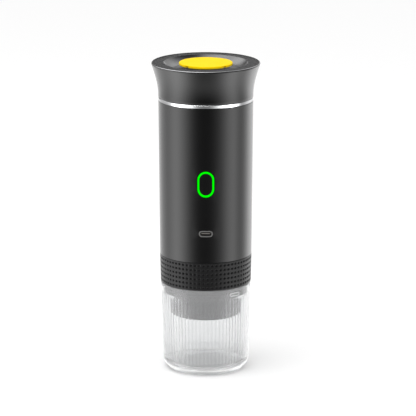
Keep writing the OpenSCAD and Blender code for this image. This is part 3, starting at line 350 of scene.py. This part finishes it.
def surface_group(name, stretch):
    """Colour, roughness and height from noise on the piece, stretched along each axis as given"""
    group = bpy.data.node_groups.new(name, 'ShaderNodeTree')
    for label, kind, value in surface_inputs:
        socket = group.interface.new_socket(label, in_out='INPUT', socket_type=kind)
        socket.default_value = value
    for label, kind in surface_outputs:
        group.interface.new_socket(label, in_out='OUTPUT', socket_type=kind)
    given = group.nodes.new('NodeGroupInput').outputs
    made = group.nodes.new('NodeGroupOutput').inputs
    place = group.nodes.new("ShaderNodeTexCoord")
    mapping = group.nodes.new("ShaderNodeMapping")
    mapping.inputs["Scale"].default_value = stretch
    group.links.new(place.outputs["Object"], mapping.inputs["Vector"])
    fine = noise(group, mapping.outputs[0], given["Fineness"], 3)
    broad = noise(group, place.outputs["Object"], broad_fineness, 2)
    colour = mix_colours(group, fine, given["Colour"], given["Second Colour"])
    centred = math_step(group, 'SUBTRACT', broad, 0.5)
    roughness = math_step(group, 'MULTIPLY_ADD', centred, given["Spread"], given["Roughness"])
    group.links.new(colour, made["Colour"])
    group.links.new(roughness, made["Roughness"])
    group.links.new(fine, made["Height"])
    return group


moulded_grain = surface_group("moulded_grain", (1, 1, 1))


def finish(name, group, colour, second, roughness, spread=0.08, fineness=1500.0, bump=0.1,
           depth=0.02 * mm, **sockets):
    """A material whose colour, roughness and bump come from one of the surface groups"""
    made = bpy.data.materials.new(name)
    made.use_nodes = True
    tree = made.node_tree
    shader = tree.nodes["Principled BSDF"]
    for label, value in sockets.items():
        shader.inputs[label.replace("_", " ")].default_value = value
    surface = tree.nodes.new("ShaderNodeGroup")
    surface.node_tree = group
    surface.inputs["Colour"].default_value = (*colour, 1)
    surface.inputs["Second Colour"].default_value = (*second, 1)
    surface.inputs["Roughness"].default_value = roughness
    surface.inputs["Spread"].default_value = spread
    surface.inputs["Fineness"].default_value = fineness
    tree.links.new(surface.outputs["Colour"], shader.inputs["Base Color"])
    tree.links.new(surface.outputs["Roughness"], shader.inputs["Roughness"])
    if bump:
        relief = tree.nodes.new("ShaderNodeBump")
        relief.inputs["Strength"].default_value = bump
        relief.inputs["Distance"].default_value = depth
        tree.links.new(surface.outputs["Height"], relief.inputs["Height"])
        tree.links.new(relief.outputs[0], shader.inputs["Normal"])
    return made


def tint(tree, *layers):
    """Lays colours over the material's own, each layer a share and its red, green and blue"""
    shade = next(node for node in tree.nodes if node.type == 'GROUP').outputs["Colour"]
    for share, colour in layers:
        shade = mix_colours(tree, share, shade, (*colour, 1))
    tree.links.new(shade, tree.nodes["Principled BSDF"].inputs["Base Color"])


def axes_of(tree):
    """Where a point lies on the piece along each axis"""
    place = tree.nodes.new("ShaderNodeTexCoord")
    axes = tree.nodes.new("ShaderNodeSeparateXYZ")
    tree.links.new(place.outputs["Object"], axes.inputs[0])
    return axes.outputs[:]


def turning_away(tree, blend):
    """How far the surface turns away from the eye"""
    layer = tree.nodes.new("ShaderNodeLayerWeight")
    layer.inputs["Blend"].default_value = blend
    return layer.outputs["Facing"]


frosted = finish("frosted_plastic", moulded_grain, (0.985, 0.99, 0.993), (0.965, 0.972, 0.978),
                 0.03, spread=0.02, fineness=1200.0, bump=0.0, Transmission_Weight=0.86, IOR=1.27)
frosted_tree = frosted.node_tree
cup_x, cup_y, cup_z = axes_of(frosted_tree)
# Painted shade: the colour turns a little greyer once across each flute, in stripes that stand in
# for the light and shade on the fluted wall.
flute_turn = math_step(frosted_tree, 'ARCTAN2', cup_y, cup_x)
flute_turn = math_step(frosted_tree, 'MULTIPLY', flute_turn, flutes)
painted_flute_shade = math_step(frosted_tree, 'COSINE', flute_turn)
painted_flute_shade = math_step(frosted_tree, 'MULTIPLY_ADD', painted_flute_shade, -0.5, 0.5)
for side, level in (('GREATER_THAN', flute_low), ('LESS_THAN', flute_high)):
    painted_flute_shade = math_step(frosted_tree, 'MULTIPLY', painted_flute_shade, math_step(frosted_tree, side, cup_z, level))
# Painted shade: the thick corner at the foot is painted greyer, most between 5.6 and 9.3 mm up;
#  its stops are heights in millimetres.
base_h = 12
base_height = math_step(frosted_tree, 'MULTIPLY', cup_z, 1 / (base_h * mm))
painted_foot_shade = ramp(frosted_tree, base_height, [
    (height / base_h, shade)
    for height, shade in ((0.2, 0), (4.8, 0.06), (5.6, 0.42), (9.3, 0.42), (9.9, 0))])
# Over the own colour go the painted flute shade, the painted foot shade, and a painted grey where
# the wall turns away from the eye, a painted shade for how the frosted wall looks at a slant.
tint(frosted_tree, (painted_flute_shade, (0.90, 0.905, 0.91)), (painted_foot_shade, (0.68, 0.685, 0.69)),
     (turning_away(frosted_tree, 0.45), (0.80, 0.805, 0.81)))
cup.data.materials.append(frosted)
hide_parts("cup")
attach(cup, "cup")


# ---- Locating mark: a raised outline with round ends on the cup's smooth band, to the right of
# the front. It is moulded with the cup, of the same plastic.
mark_w, mark_h, mark_line, mark_rise = 9.4 * mm, 2.7 * mm, 0.55 * mm, 0.22 * mm
mark_edge, mark_sink, mark_end_steps = 0.05 * mm, 0.15 * mm, 14
mark_angle, mark_z, band_r, band_slope = math.radians(-50), 65.3 * mm, 35.21 * mm, 0.028


def slot_outline(width, height, steps):
    """Points round a slot with half-round ends, centred on zero"""
    reach = (width - height) / 2
    return ([(reach + x, y) for x, y in arc((0, 0), height / 2, -90, 90, steps)]
            + [(-reach + x, y) for x, y in arc((0, 0), height / 2, 90, 270, steps)])


mark_rows = []
for inset, rise in ((0, -mark_sink), (mark_edge, mark_rise * 0.7), (mark_line * 0.3, mark_rise),
                    (mark_line * 0.7, mark_rise), (mark_line - mark_edge, mark_rise * 0.7),
                    (mark_line, -mark_sink)):
    outline = slot_outline(mark_w - 2 * inset, mark_h - 2 * inset, mark_end_steps)
    mark_rows.append([(math.atan2(x, band_r), y, rise) for x, y in outline])
row_points = len(mark_rows[0])
clear_selection()
bpy.ops.mesh.primitive_circle_add(vertices=row_points, radius=mark_w / 2)
mark = bpy.context.object
mark.name = mark.data.name = "locating_mark"
bpy.ops.object.mode_set(mode='EDIT')
bpy.ops.mesh.select_mode(type='VERT')
bpy.ops.mesh.select_all(action='SELECT')
for _ in mark_rows[1:]:
    bpy.ops.mesh.extrude_region_move(TRANSFORM_OT_translate={"value": (0, 0, 0.1 * mm)})
bpy.ops.object.mode_set(mode='OBJECT')
for vertex in mark.data.vertices:
    across, up, rise = mark_rows[vertex.index // row_points][vertex.index % row_points]
    radius = band_r + up * band_slope + rise
    vertex.co = (radius * math.cos(mark_angle + across), radius * math.sin(mark_angle + across),
                 mark_z + up)


def on_end_row(edge):
    """Whether an edge lies along the outermost or the innermost row of the mark"""
    rows = {v // row_points for v in edge.vertices}
    return len(rows) == 1 and rows <= {0, len(mark_rows) - 1}


pick(mark, 'EDGE', on_end_row)
bpy.ops.mesh.bridge_edge_loops()
bpy.ops.mesh.select_all(action='SELECT')
bpy.ops.mesh.normals_make_consistent(inside=False)
bpy.ops.object.mode_set(mode='OBJECT')
smooth(mark, 60)
mark_white = finish("mark_plastic", moulded_grain, (0.68, 0.685, 0.69), (0.64, 0.645, 0.65), 0.25,
                    spread=0.04, fineness=1200.0, bump=0.0)
mark.data.materials.append(mark_white)
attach(mark, "cup")


def dress(material, *names):
    """Gives the material to pieces that keep their shape from the part's solids"""
    for name in names:
        for place in nodes[name].material_slots:
            place.material = material


turned_lines = surface_group("turned_lines", (0.04, 0.04, 1))
dark_plastic = finish("dark_plastic", moulded_grain, (0.030, 0.030, 0.032),
                      (0.040, 0.040, 0.043), 0.45)
steel_turned = finish("turned_steel", turned_lines, (0.62, 0.63, 0.64), (0.50, 0.51, 0.52), 0.26,
                      spread=0.1, fineness=2600.0, bump=0.08, depth=0.01 * mm, Metallic=1.0)
black_silicone = finish("black_silicone", moulded_grain, (0.035, 0.035, 0.037),
                        (0.028, 0.028, 0.030), 0.55)
dress(dark_plastic, "basket_holder", "outlet_cap")
dress(steel_turned, "filter_basket")
dress(black_silicone, "crema_valve", "collar_oring")


# ---- Grip ring: soft black plastic round the brew head, to hold it by when the machine is screwed
# off. A square grid of small round dimples, six rows of 68, is moulded into it.
grip_low, grip_high = 70.2 * mm, 92.6 * mm
grip_low_r, grip_high_r, grip_in_r, grip_wall_r = 35.45 * mm, 36.0 * mm, 33.1 * mm, 35.2 * mm
grip_columns, grip_rows, grip_gap_h = 68, 6, 0.35 * mm
grip_foot_h, grip_head_h, grip_bulge = 0.6 * mm, 0.5 * mm, 0.05 * mm
dimple_margin, dimple_edge, dimple_d = 0.72 * mm, 0.08 * mm, 1.1 * mm
cell_w = 2 * math.pi * grip_low_r / grip_columns
cell_h = (grip_high - grip_low - grip_foot_h - grip_head_h) / grip_rows


def grip_r(z):
    """The outer radius at a height, a little larger towards the body"""
    share = (z - grip_low) / (grip_high - grip_low)
    return grip_low_r + (grip_high_r - grip_low_r) * share + grip_bulge


grip_levels = [grip_low + 0.35 * mm]
for row in range(grip_rows):
    start = grip_low + grip_foot_h + row * cell_h
    grip_levels += [start + grip_gap_h / 2, start + cell_h - grip_gap_h / 2]
grip_levels.append(grip_high - 0.3 * mm)
grip_outline = (
    [(grip_in_r, grip_low), (grip_low_r - 0.55 * mm, grip_low),
     (grip_low_r - 0.12 * mm, grip_low + 0.05 * mm)]
    + [(grip_r(z), z) for z in grip_levels]
    + [(grip_high_r - 0.1 * mm, grip_high - 0.02 * mm), (grip_high_r - 0.5 * mm, grip_high),
       (grip_in_r, grip_high), (grip_in_r, grip_high - 0.4 * mm),
       (grip_in_r, (grip_low + grip_high) / 2), (grip_in_r, grip_low + 0.4 * mm),
       (grip_in_r, grip_low)])
grip = turned("grip_ring", grip_outline, grip_columns)


def is_cell(face):
    """Whether a face of the outer wall is large enough to be a cell and not a gap between rows"""
    return (axis_distance(face.center) > grip_wall_r and abs(face.normal.z) < 0.2
            and face.area > 0.8 * cell_w * (cell_h - grip_gap_h))


pick(grip, 'FACE', is_cell)
bpy.ops.mesh.inset(thickness=dimple_margin, use_individual=True, use_boundary=True)
bpy.ops.mesh.inset(thickness=dimple_edge, depth=-dimple_d, use_individual=True, use_boundary=True)
bpy.ops.object.mode_set(mode='OBJECT')
rounding = grip.modifiers.new("rounding", 'SUBSURF')
rounding.levels = rounding.render_levels = 2
bpy.ops.object.modifier_apply(modifier="rounding")
smooth(grip, 60)
grip_plastic = finish("grip_plastic", moulded_grain, (0.0105, 0.0105, 0.0108),
                      (0.008, 0.008, 0.0083), 0.35, spread=0.06, fineness=2200.0,
                      Specular_IOR_Level=0.105)
grip.data.materials.append(grip_plastic)
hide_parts("grip_sleeve")
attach(grip, "brew_head")


# ---- Brewing parts at the foot of the body: a black moulded base with a red silicone gasket, and
# the perforated steel shower screen, which one screw holds to the base.
red_silicone = finish("red_silicone", moulded_grain, (0.36, 0.035, 0.020), (0.42, 0.05, 0.03), 0.5)
dress(dark_plastic, "brew_base")
dress(steel_turned, "shower_screen", "screen_screw", "base_screws")
dress(red_silicone, "head_gasket")


# ---- Cells and board: three wrapped cells stand round the pump in the grey moulded chassis, with
# steel tabs welded on. The lacquered board behind the button is screwed to the chassis.
drawn_lines = surface_group("drawn_lines", (1, 1, 0.03))
steel_drawn = finish("drawn_steel", drawn_lines, (0.56, 0.57, 0.58), (0.46, 0.47, 0.48), 0.3,
                     spread=0.1, fineness=2600.0, bump=0.08, depth=0.01 * mm, Metallic=1.0)
chassis_grey = finish("chassis_grey", moulded_grain, (0.16, 0.165, 0.17), (0.19, 0.195, 0.20), 0.5)
cell_wrap = finish("cell_wrap", moulded_grain, (0.02, 0.13, 0.42), (0.025, 0.15, 0.46), 0.28,
                   spread=0.05, fineness=700.0, bump=0.03)
board_green = finish("board_lacquer", moulded_grain, (0.006, 0.075, 0.030), (0.012, 0.12, 0.05),
                     0.3, spread=0.1, fineness=800.0, bump=0.08)
part_black = finish("part_black", moulded_grain, (0.018, 0.018, 0.018), (0.03, 0.03, 0.03), 0.5)
dress(chassis_grey, "chassis")
dress(cell_wrap, "cell_left", "cell_back", "cell_right")
dress(steel_drawn, "cell_tabs", "board_screws", "switch_body")
dress(board_green, "control_board")
dress(part_black, "board_parts", "switch_plunger")


# ---- Pump: a plunger pump with a copper winding in a bent steel frame, on a black mount, and the
# grey silicone hoses that are pushed over its two ends.
copper = finish("wound_copper", turned_lines, (0.42, 0.15, 0.05), (0.26, 0.08, 0.03), 0.28,
                fineness=4200.0, bump=0.5, depth=0.05 * mm, Metallic=1.0)
grey_silicone = finish("grey_silicone", moulded_grain, (0.36, 0.36, 0.38), (0.30, 0.30, 0.32), 0.55)
dress(dark_plastic, "pump_body")
dress(steel_drawn, "pump_frame", "pump_plunger")
dress(copper, "pump_coil")
dress(part_black, "pump_mount")
dress(grey_silicone, "inlet_hose", "outlet_hose")


# ---- Pump spring: wound steel wire that returns the plunger.
spring_wire, wire_sides, coil_steps = 0.5 * mm, 10, 24


def coil_spring(name, coil_r, foot, top, turns, material, body):
    """A coil of round wire about the machine's axis, between two levels, with closed ends"""
    clear_selection()
    bpy.ops.mesh.primitive_circle_add(vertices=wire_sides, radius=spring_wire / 2,
                                      location=(coil_r, 0, foot + spring_wire / 2),
                                      rotation=(math.radians(90), 0, 0))
    piece = bpy.context.object
    piece.name = piece.data.name = name
    bpy.ops.object.transform_apply(location=True, rotation=True, scale=True)
    winding = piece.modifiers.new("winding", 'SCREW')
    winding.steps = winding.render_steps = coil_steps
    winding.iterations = turns
    winding.screw_offset = (top - foot - spring_wire) / turns
    bpy.ops.object.modifier_apply(modifier="winding")
    bpy.ops.object.mode_set(mode='EDIT')
    bpy.ops.mesh.select_all(action='SELECT')
    bpy.ops.mesh.fill_holes(sides=0)
    bpy.ops.mesh.select_all(action='SELECT')
    bpy.ops.mesh.normals_make_consistent(inside=False)
    bpy.ops.object.mode_set(mode='OBJECT')
    smooth(piece, 50)
    piece.data.materials.append(material)
    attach(piece, body)
    return piece


pump_coil_r, pump_turns = 3.1 * mm, 5
pump_foot, pump_top, pump_travel = 116.75 * mm, 124.65 * mm, 3.0 * mm
pump_spring = coil_spring("pump_spring_wire", pump_coil_r, pump_foot, pump_top, pump_turns,
                          steel_drawn, "housing")
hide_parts("pump_spring")
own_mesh(pump_spring)


# ---- Heater and tank: a cast plate with the fuse and the probe against it, a felt sleeve round
# them, and above it the steel water tank, which the neck ring holds and a red ring seals.
cast_alloy = finish("cast_alloy", moulded_grain, (0.56, 0.53, 0.46), (0.48, 0.45, 0.39), 0.45,
                    spread=0.15, fineness=1400.0, bump=0.3, depth=0.05 * mm, Metallic=1.0)
felt = finish("felt", moulded_grain, (0.58, 0.57, 0.53), (0.40, 0.39, 0.36), 0.9,
              spread=0.1, fineness=1800.0, bump=0.8, depth=0.2 * mm)
dress(cast_alloy, "heater_plate")
dress(chassis_grey, "thermal_fuse")
dress(part_black, "temperature_probe")
dress(felt, "insulation_sleeve")
dress(steel_turned, "water_tank")
dress(dark_plastic, "neck_ring")
dress(red_silicone, "tank_oring")


# ---- Body shell: a long aluminium tube, spray-painted in satin graphite, with openings for the
# button and the charging port. The button's cap is painted with it.
graphite = finish("graphite_paint", moulded_grain, (0.0008, 0.0008, 0.0009),
                  (0.0016, 0.0016, 0.0017), 0.25, spread=0.03, fineness=5200.0, bump=0.04,
                  depth=0.01 * mm, IOR=1.33)
dress(graphite, "outer_shell", "button_cap")


# ---- Light ring: a clear green moulding round the button, over the board's lamps. Its outer edge
# is masked off and stays dark.
green_light = finish("green_light", moulded_grain, (0.0, 0.03, 0.0005), (0.0, 0.025, 0.0005), 0.5,
                     spread=0.05, fineness=900.0, bump=0.0, Emission_Strength=1.05,
                     Specular_IOR_Level=0.0)
lit_w, light_low, light_high = 12.9 * mm, *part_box("light_ring")
light_middle_z = (light_low[2] + light_high[2]) / 2
light_straight = (light_high[2] - light_low[2] - light_high[0] + light_low[0]) / 2


def reach(tree, a, b):
    """The distance that a and b make at right angles to each other"""
    squares = [math_step(tree, 'MULTIPLY', side, side) for side in (a, b)]
    return math_step(tree, 'SQRT', math_step(tree, 'ADD', *squares))


light_tree = green_light.node_tree
light_x, _, light_z = axes_of(light_tree)
off_middle = math_step(light_tree, 'SUBTRACT', light_z, light_middle_z)
off_middle = math_step(light_tree, 'ABSOLUTE', off_middle)
past_straight = math_step(light_tree, 'SUBTRACT', off_middle, light_straight)
past_straight = math_step(light_tree, 'MAXIMUM', past_straight, 0.0)
unmasked = math_step(light_tree, 'LESS_THAN', reach(light_tree, past_straight, light_x), lit_w / 2)
feed(light_tree, light_tree.nodes["Principled BSDF"].inputs["Emission Color"],
     mix_colours(light_tree, unmasked, (0, 0, 0, 1), (0, 1, 0, 1)))
dress(green_light, "light_ring")


# ---- Charging port: a grey moulded bezel in the shell's opening, a drawn shell of dark nickel
# round the socket, and a paler moulded tongue in its middle.
port_grey = finish("port_bezel_grey", moulded_grain, (0.095, 0.093, 0.092), (0.115, 0.113, 0.11),
                   0.40)
tongue_grey = finish("tongue_grey", moulded_grain, (0.15, 0.14, 0.13), (0.18, 0.17, 0.155), 0.6)
dark_nickel = finish("dark_nickel", drawn_lines, (0.13, 0.13, 0.13), (0.10, 0.10, 0.10), 0.35,
                     spread=0.1, fineness=2600.0, bump=0.05, depth=0.01 * mm, Metallic=1.0)
dress(port_grey, "port_bezel")
dress(tongue_grey, "port_tongue")
dress(dark_nickel, "port_shell")


# ---- Trim ring: a turned and bright-plated metal ring that closes the shell at the top. Its colour
#  is painted darker where its face turns away from the eye, a painted shade for its dimmer ends.
chrome = finish("bright_chrome", turned_lines, (0.84, 0.85, 0.86), (0.80, 0.81, 0.82), 0.14,
                spread=0.03, fineness=3000.0, bump=0.02, depth=0.005 * mm, Metallic=1.0)
chrome_tree = chrome.node_tree
# Painted shade: the colour darkens towards the ring's turned-away ends.
painted_edge_shade = ramp(chrome_tree, turning_away(chrome_tree, 0.5), ((0.11, 0), (0.35, 1)))
tint(chrome_tree, (painted_edge_shade, (0.17, 0.17, 0.173)))
dress(chrome, "trim_ring")


# ---- Lid collar: a flared metal wall, painted like the body. It opens out in one curve, from
# upright at the trim ring to its widest at the rounded rim.
rim_low, rim_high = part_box("lid_collar")
rim_top, rim_out_r, collar_foot = rim_high[2], rim_high[0], rim_low[2]
neck_r, flare_from, rim_edge_r, collar_wall = 37.0 * mm, 219.6 * mm, 0.9 * mm, 1.8 * mm
seat_r, seat_z, ledge_r, ledge_z = 40.9 * mm, 242.65 * mm, 39.7 * mm, 241.05 * mm
inner_flare_top, shelf_r, shelf_top, shelf_under = 239.4 * mm, 33.1 * mm, 233.0 * mm, 231.4 * mm
rim_centre = (rim_out_r - rim_edge_r, rim_top - rim_edge_r)


def flared_r(z):
    """The outer wall's radius at a height, upright at the neck and widest at the rim"""
    rise = max(0.0, (z - flare_from) / (rim_centre[1] - flare_from))
    return neck_r + 1.5 * (rim_out_r - neck_r) * (rise ** 2 - rise ** 3 / 3)


def flare_wall(start, end, inset, steps):
    """Outline points along the flare between two heights, moved in by the inset"""
    heights = [start + (end - start) * i / steps for i in range(steps + 1)]
    return [(flared_r(z) - inset, z) for z in heights]


collar_outline = (
    [(neck_r - collar_wall, collar_foot), (neck_r - 0.3 * mm, collar_foot),
     (neck_r - 0.09 * mm, collar_foot + 0.09 * mm), (neck_r, collar_foot + 0.3 * mm)]
    + flare_wall(flare_from, rim_centre[1], 0, 28) + arc(rim_centre, rim_edge_r, 10, 90, 8)
    + [(seat_r, rim_top), (seat_r, seat_z), (ledge_r, seat_z), (ledge_r, ledge_z)]
    + flare_wall(inner_flare_top, shelf_top, collar_wall, 8)
    + [(shelf_r, shelf_top), (shelf_r, shelf_under)]
    + flare_wall(shelf_under, flare_from, collar_wall, 8)
    + [(neck_r - collar_wall, collar_foot)])
collar = turned("flared_collar", collar_outline, columns=240)
smooth(collar, 40)
collar.data.materials.append(graphite)
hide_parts("lid_collar")
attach(collar, "lid")


# ---- Bright rim: the collar's rounded rim is turned bare after painting, which leaves a thin
# bright line of metal round the dark top.
rim_flat, rim_proud, rim_line_d = 0.47 * mm, 0.03 * mm, 0.2 * mm
rim_crest = arc(rim_centre, rim_edge_r + rim_proud, 44, 90, 8)
rim_outline = (
    rim_crest
    + [(rim_centre[0] - rim_flat, rim_top + rim_proud),
       (rim_centre[0] - rim_flat, rim_top - rim_line_d)]
    + arc(rim_centre, rim_edge_r - rim_line_d, 90, 44, 6) + rim_crest[:1])
rim_line = turned("rim_line", rim_outline, columns=360)
smooth(rim_line, 50)
bright_edge = finish("turned_edge", turned_lines, (0.22, 0.22, 0.225), (0.18, 0.18, 0.185), 0.24,
                     spread=0.06, fineness=4000.0, bump=0.05, depth=0.01 * mm, Metallic=1.0)
rim_line.data.materials.append(bright_edge)
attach(rim_line, "lid")


# ---- Lid top: a dark moulded disc with a shallow dish in it, set into the collar, and the threaded
#  liner below, which is screwed to it. The dish is painted paler towards the knob, a painted
#  highlight for the light its slopes catch.
lid_black = finish("lid_plastic", moulded_grain, (0.016, 0.016, 0.017), (0.013, 0.013, 0.014),
                   0.25, spread=0.06, fineness=1800.0)
dish_low_r, dish_high_r = 19 * mm, 32.8 * mm
lid_tree = lid_black.node_tree
lid_x, lid_y, _ = axes_of(lid_tree)
# Painted highlight: the colour grows paler from the dish's edge in towards the knob.
painted_dish_light = lid_tree.nodes.new("ShaderNodeMapRange")
painted_dish_light.inputs["From Min"].default_value = dish_high_r
painted_dish_light.inputs["From Max"].default_value = dish_low_r
lid_tree.links.new(reach(lid_tree, lid_x, lid_y), painted_dish_light.inputs["Value"])
tint(lid_tree, (painted_dish_light.outputs[0], (0.105, 0.105, 0.107)))
dress(lid_black, "lid_top")
dress(dark_plastic, "lid_liner")
dress(steel_drawn, "lid_screws")
dress(red_silicone, "lid_seal")


# ---- Vent valve: a drawn steel stem with a red washer that closes the lid's steam vent, and a
# spring of wound steel wire under the knob, between the liner and the stem's collar.
dress(steel_drawn, "vent_stem")
dress(red_silicone, "vent_washer")
vent_coil_r, vent_turns = 4.4 * mm, 4
vent_foot, vent_top, vent_travel = 231.45 * mm, 235.95 * mm, 2.0 * mm
vent_spring = coil_spring("vent_spring_wire", vent_coil_r, vent_foot, vent_top, vent_turns,
                          steel_drawn, "lid")
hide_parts("vent_spring")
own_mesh(vent_spring)


# ---- Vent knob: yellow moulded plastic, a flat disc on a narrower boss, fixed on the stem. Four
# notches under the disc's edge give the fingers a hold.
knob_low, knob_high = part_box("vent_knob")
knob_r, knob_top, knob_under = knob_high[0], knob_high[2], knob_low[2]
disc_h, knob_edge_r, disc_edge, knob_flat_r = 1.9 * mm, 0.7 * mm, 0.25 * mm, 17 * mm
boss_r, boss_edge, boss_step = 14 * mm, 0.3 * mm, 0.1 * mm
notch_angles, notch_half_angle, notch_d, notch_lip = (45, 135, -135, -45), 3.2, 1.9 * mm, 0.45 * mm
disc_under = knob_top - disc_h
knob_outline = (
    [(pole_r, knob_under), (boss_r - boss_edge, knob_under), (boss_r, knob_under + boss_edge),
     (boss_r, disc_under - boss_step), (boss_r + boss_step, disc_under),
     (knob_r - disc_edge, disc_under), (knob_r, disc_under + disc_edge)]
    + arc((knob_r - knob_edge_r, knob_top - knob_edge_r), knob_edge_r, 0, 90, 6)
    + [(knob_flat_r, knob_top), (pole_r, knob_top)])
knob = turned("knob_disc", knob_outline, columns=360)


def in_notch(vertex):
    """Whether a vertex of the disc's edge lies in a notch, below the lip that is left above it"""
    along = math.degrees(math.atan2(vertex.co.y, vertex.co.x))
    return (axis_distance(vertex.co) > knob_r - knob_edge_r - 0.1 * mm
            and vertex.co.z < knob_top - notch_lip
            and min(abs(along - middle) for middle in notch_angles) < notch_half_angle)


pick(knob, 'VERT', in_notch)
notch_share = (knob_r - notch_d) / knob_r
bpy.ops.transform.resize(value=(notch_share, notch_share, 1), center_override=(0, 0, 0))
bpy.ops.object.mode_set(mode='OBJECT')
smooth(knob, 40)
yellow = finish("yellow_plastic", moulded_grain, (1.0, 0.69, 0.0015), (0.99, 0.675, 0.001), 0.45,
                spread=0.06, bump=0.05, Specular_IOR_Level=0.06)
knob.data.materials.append(yellow)
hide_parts("vent_knob")
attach(knob, "vent_valve")
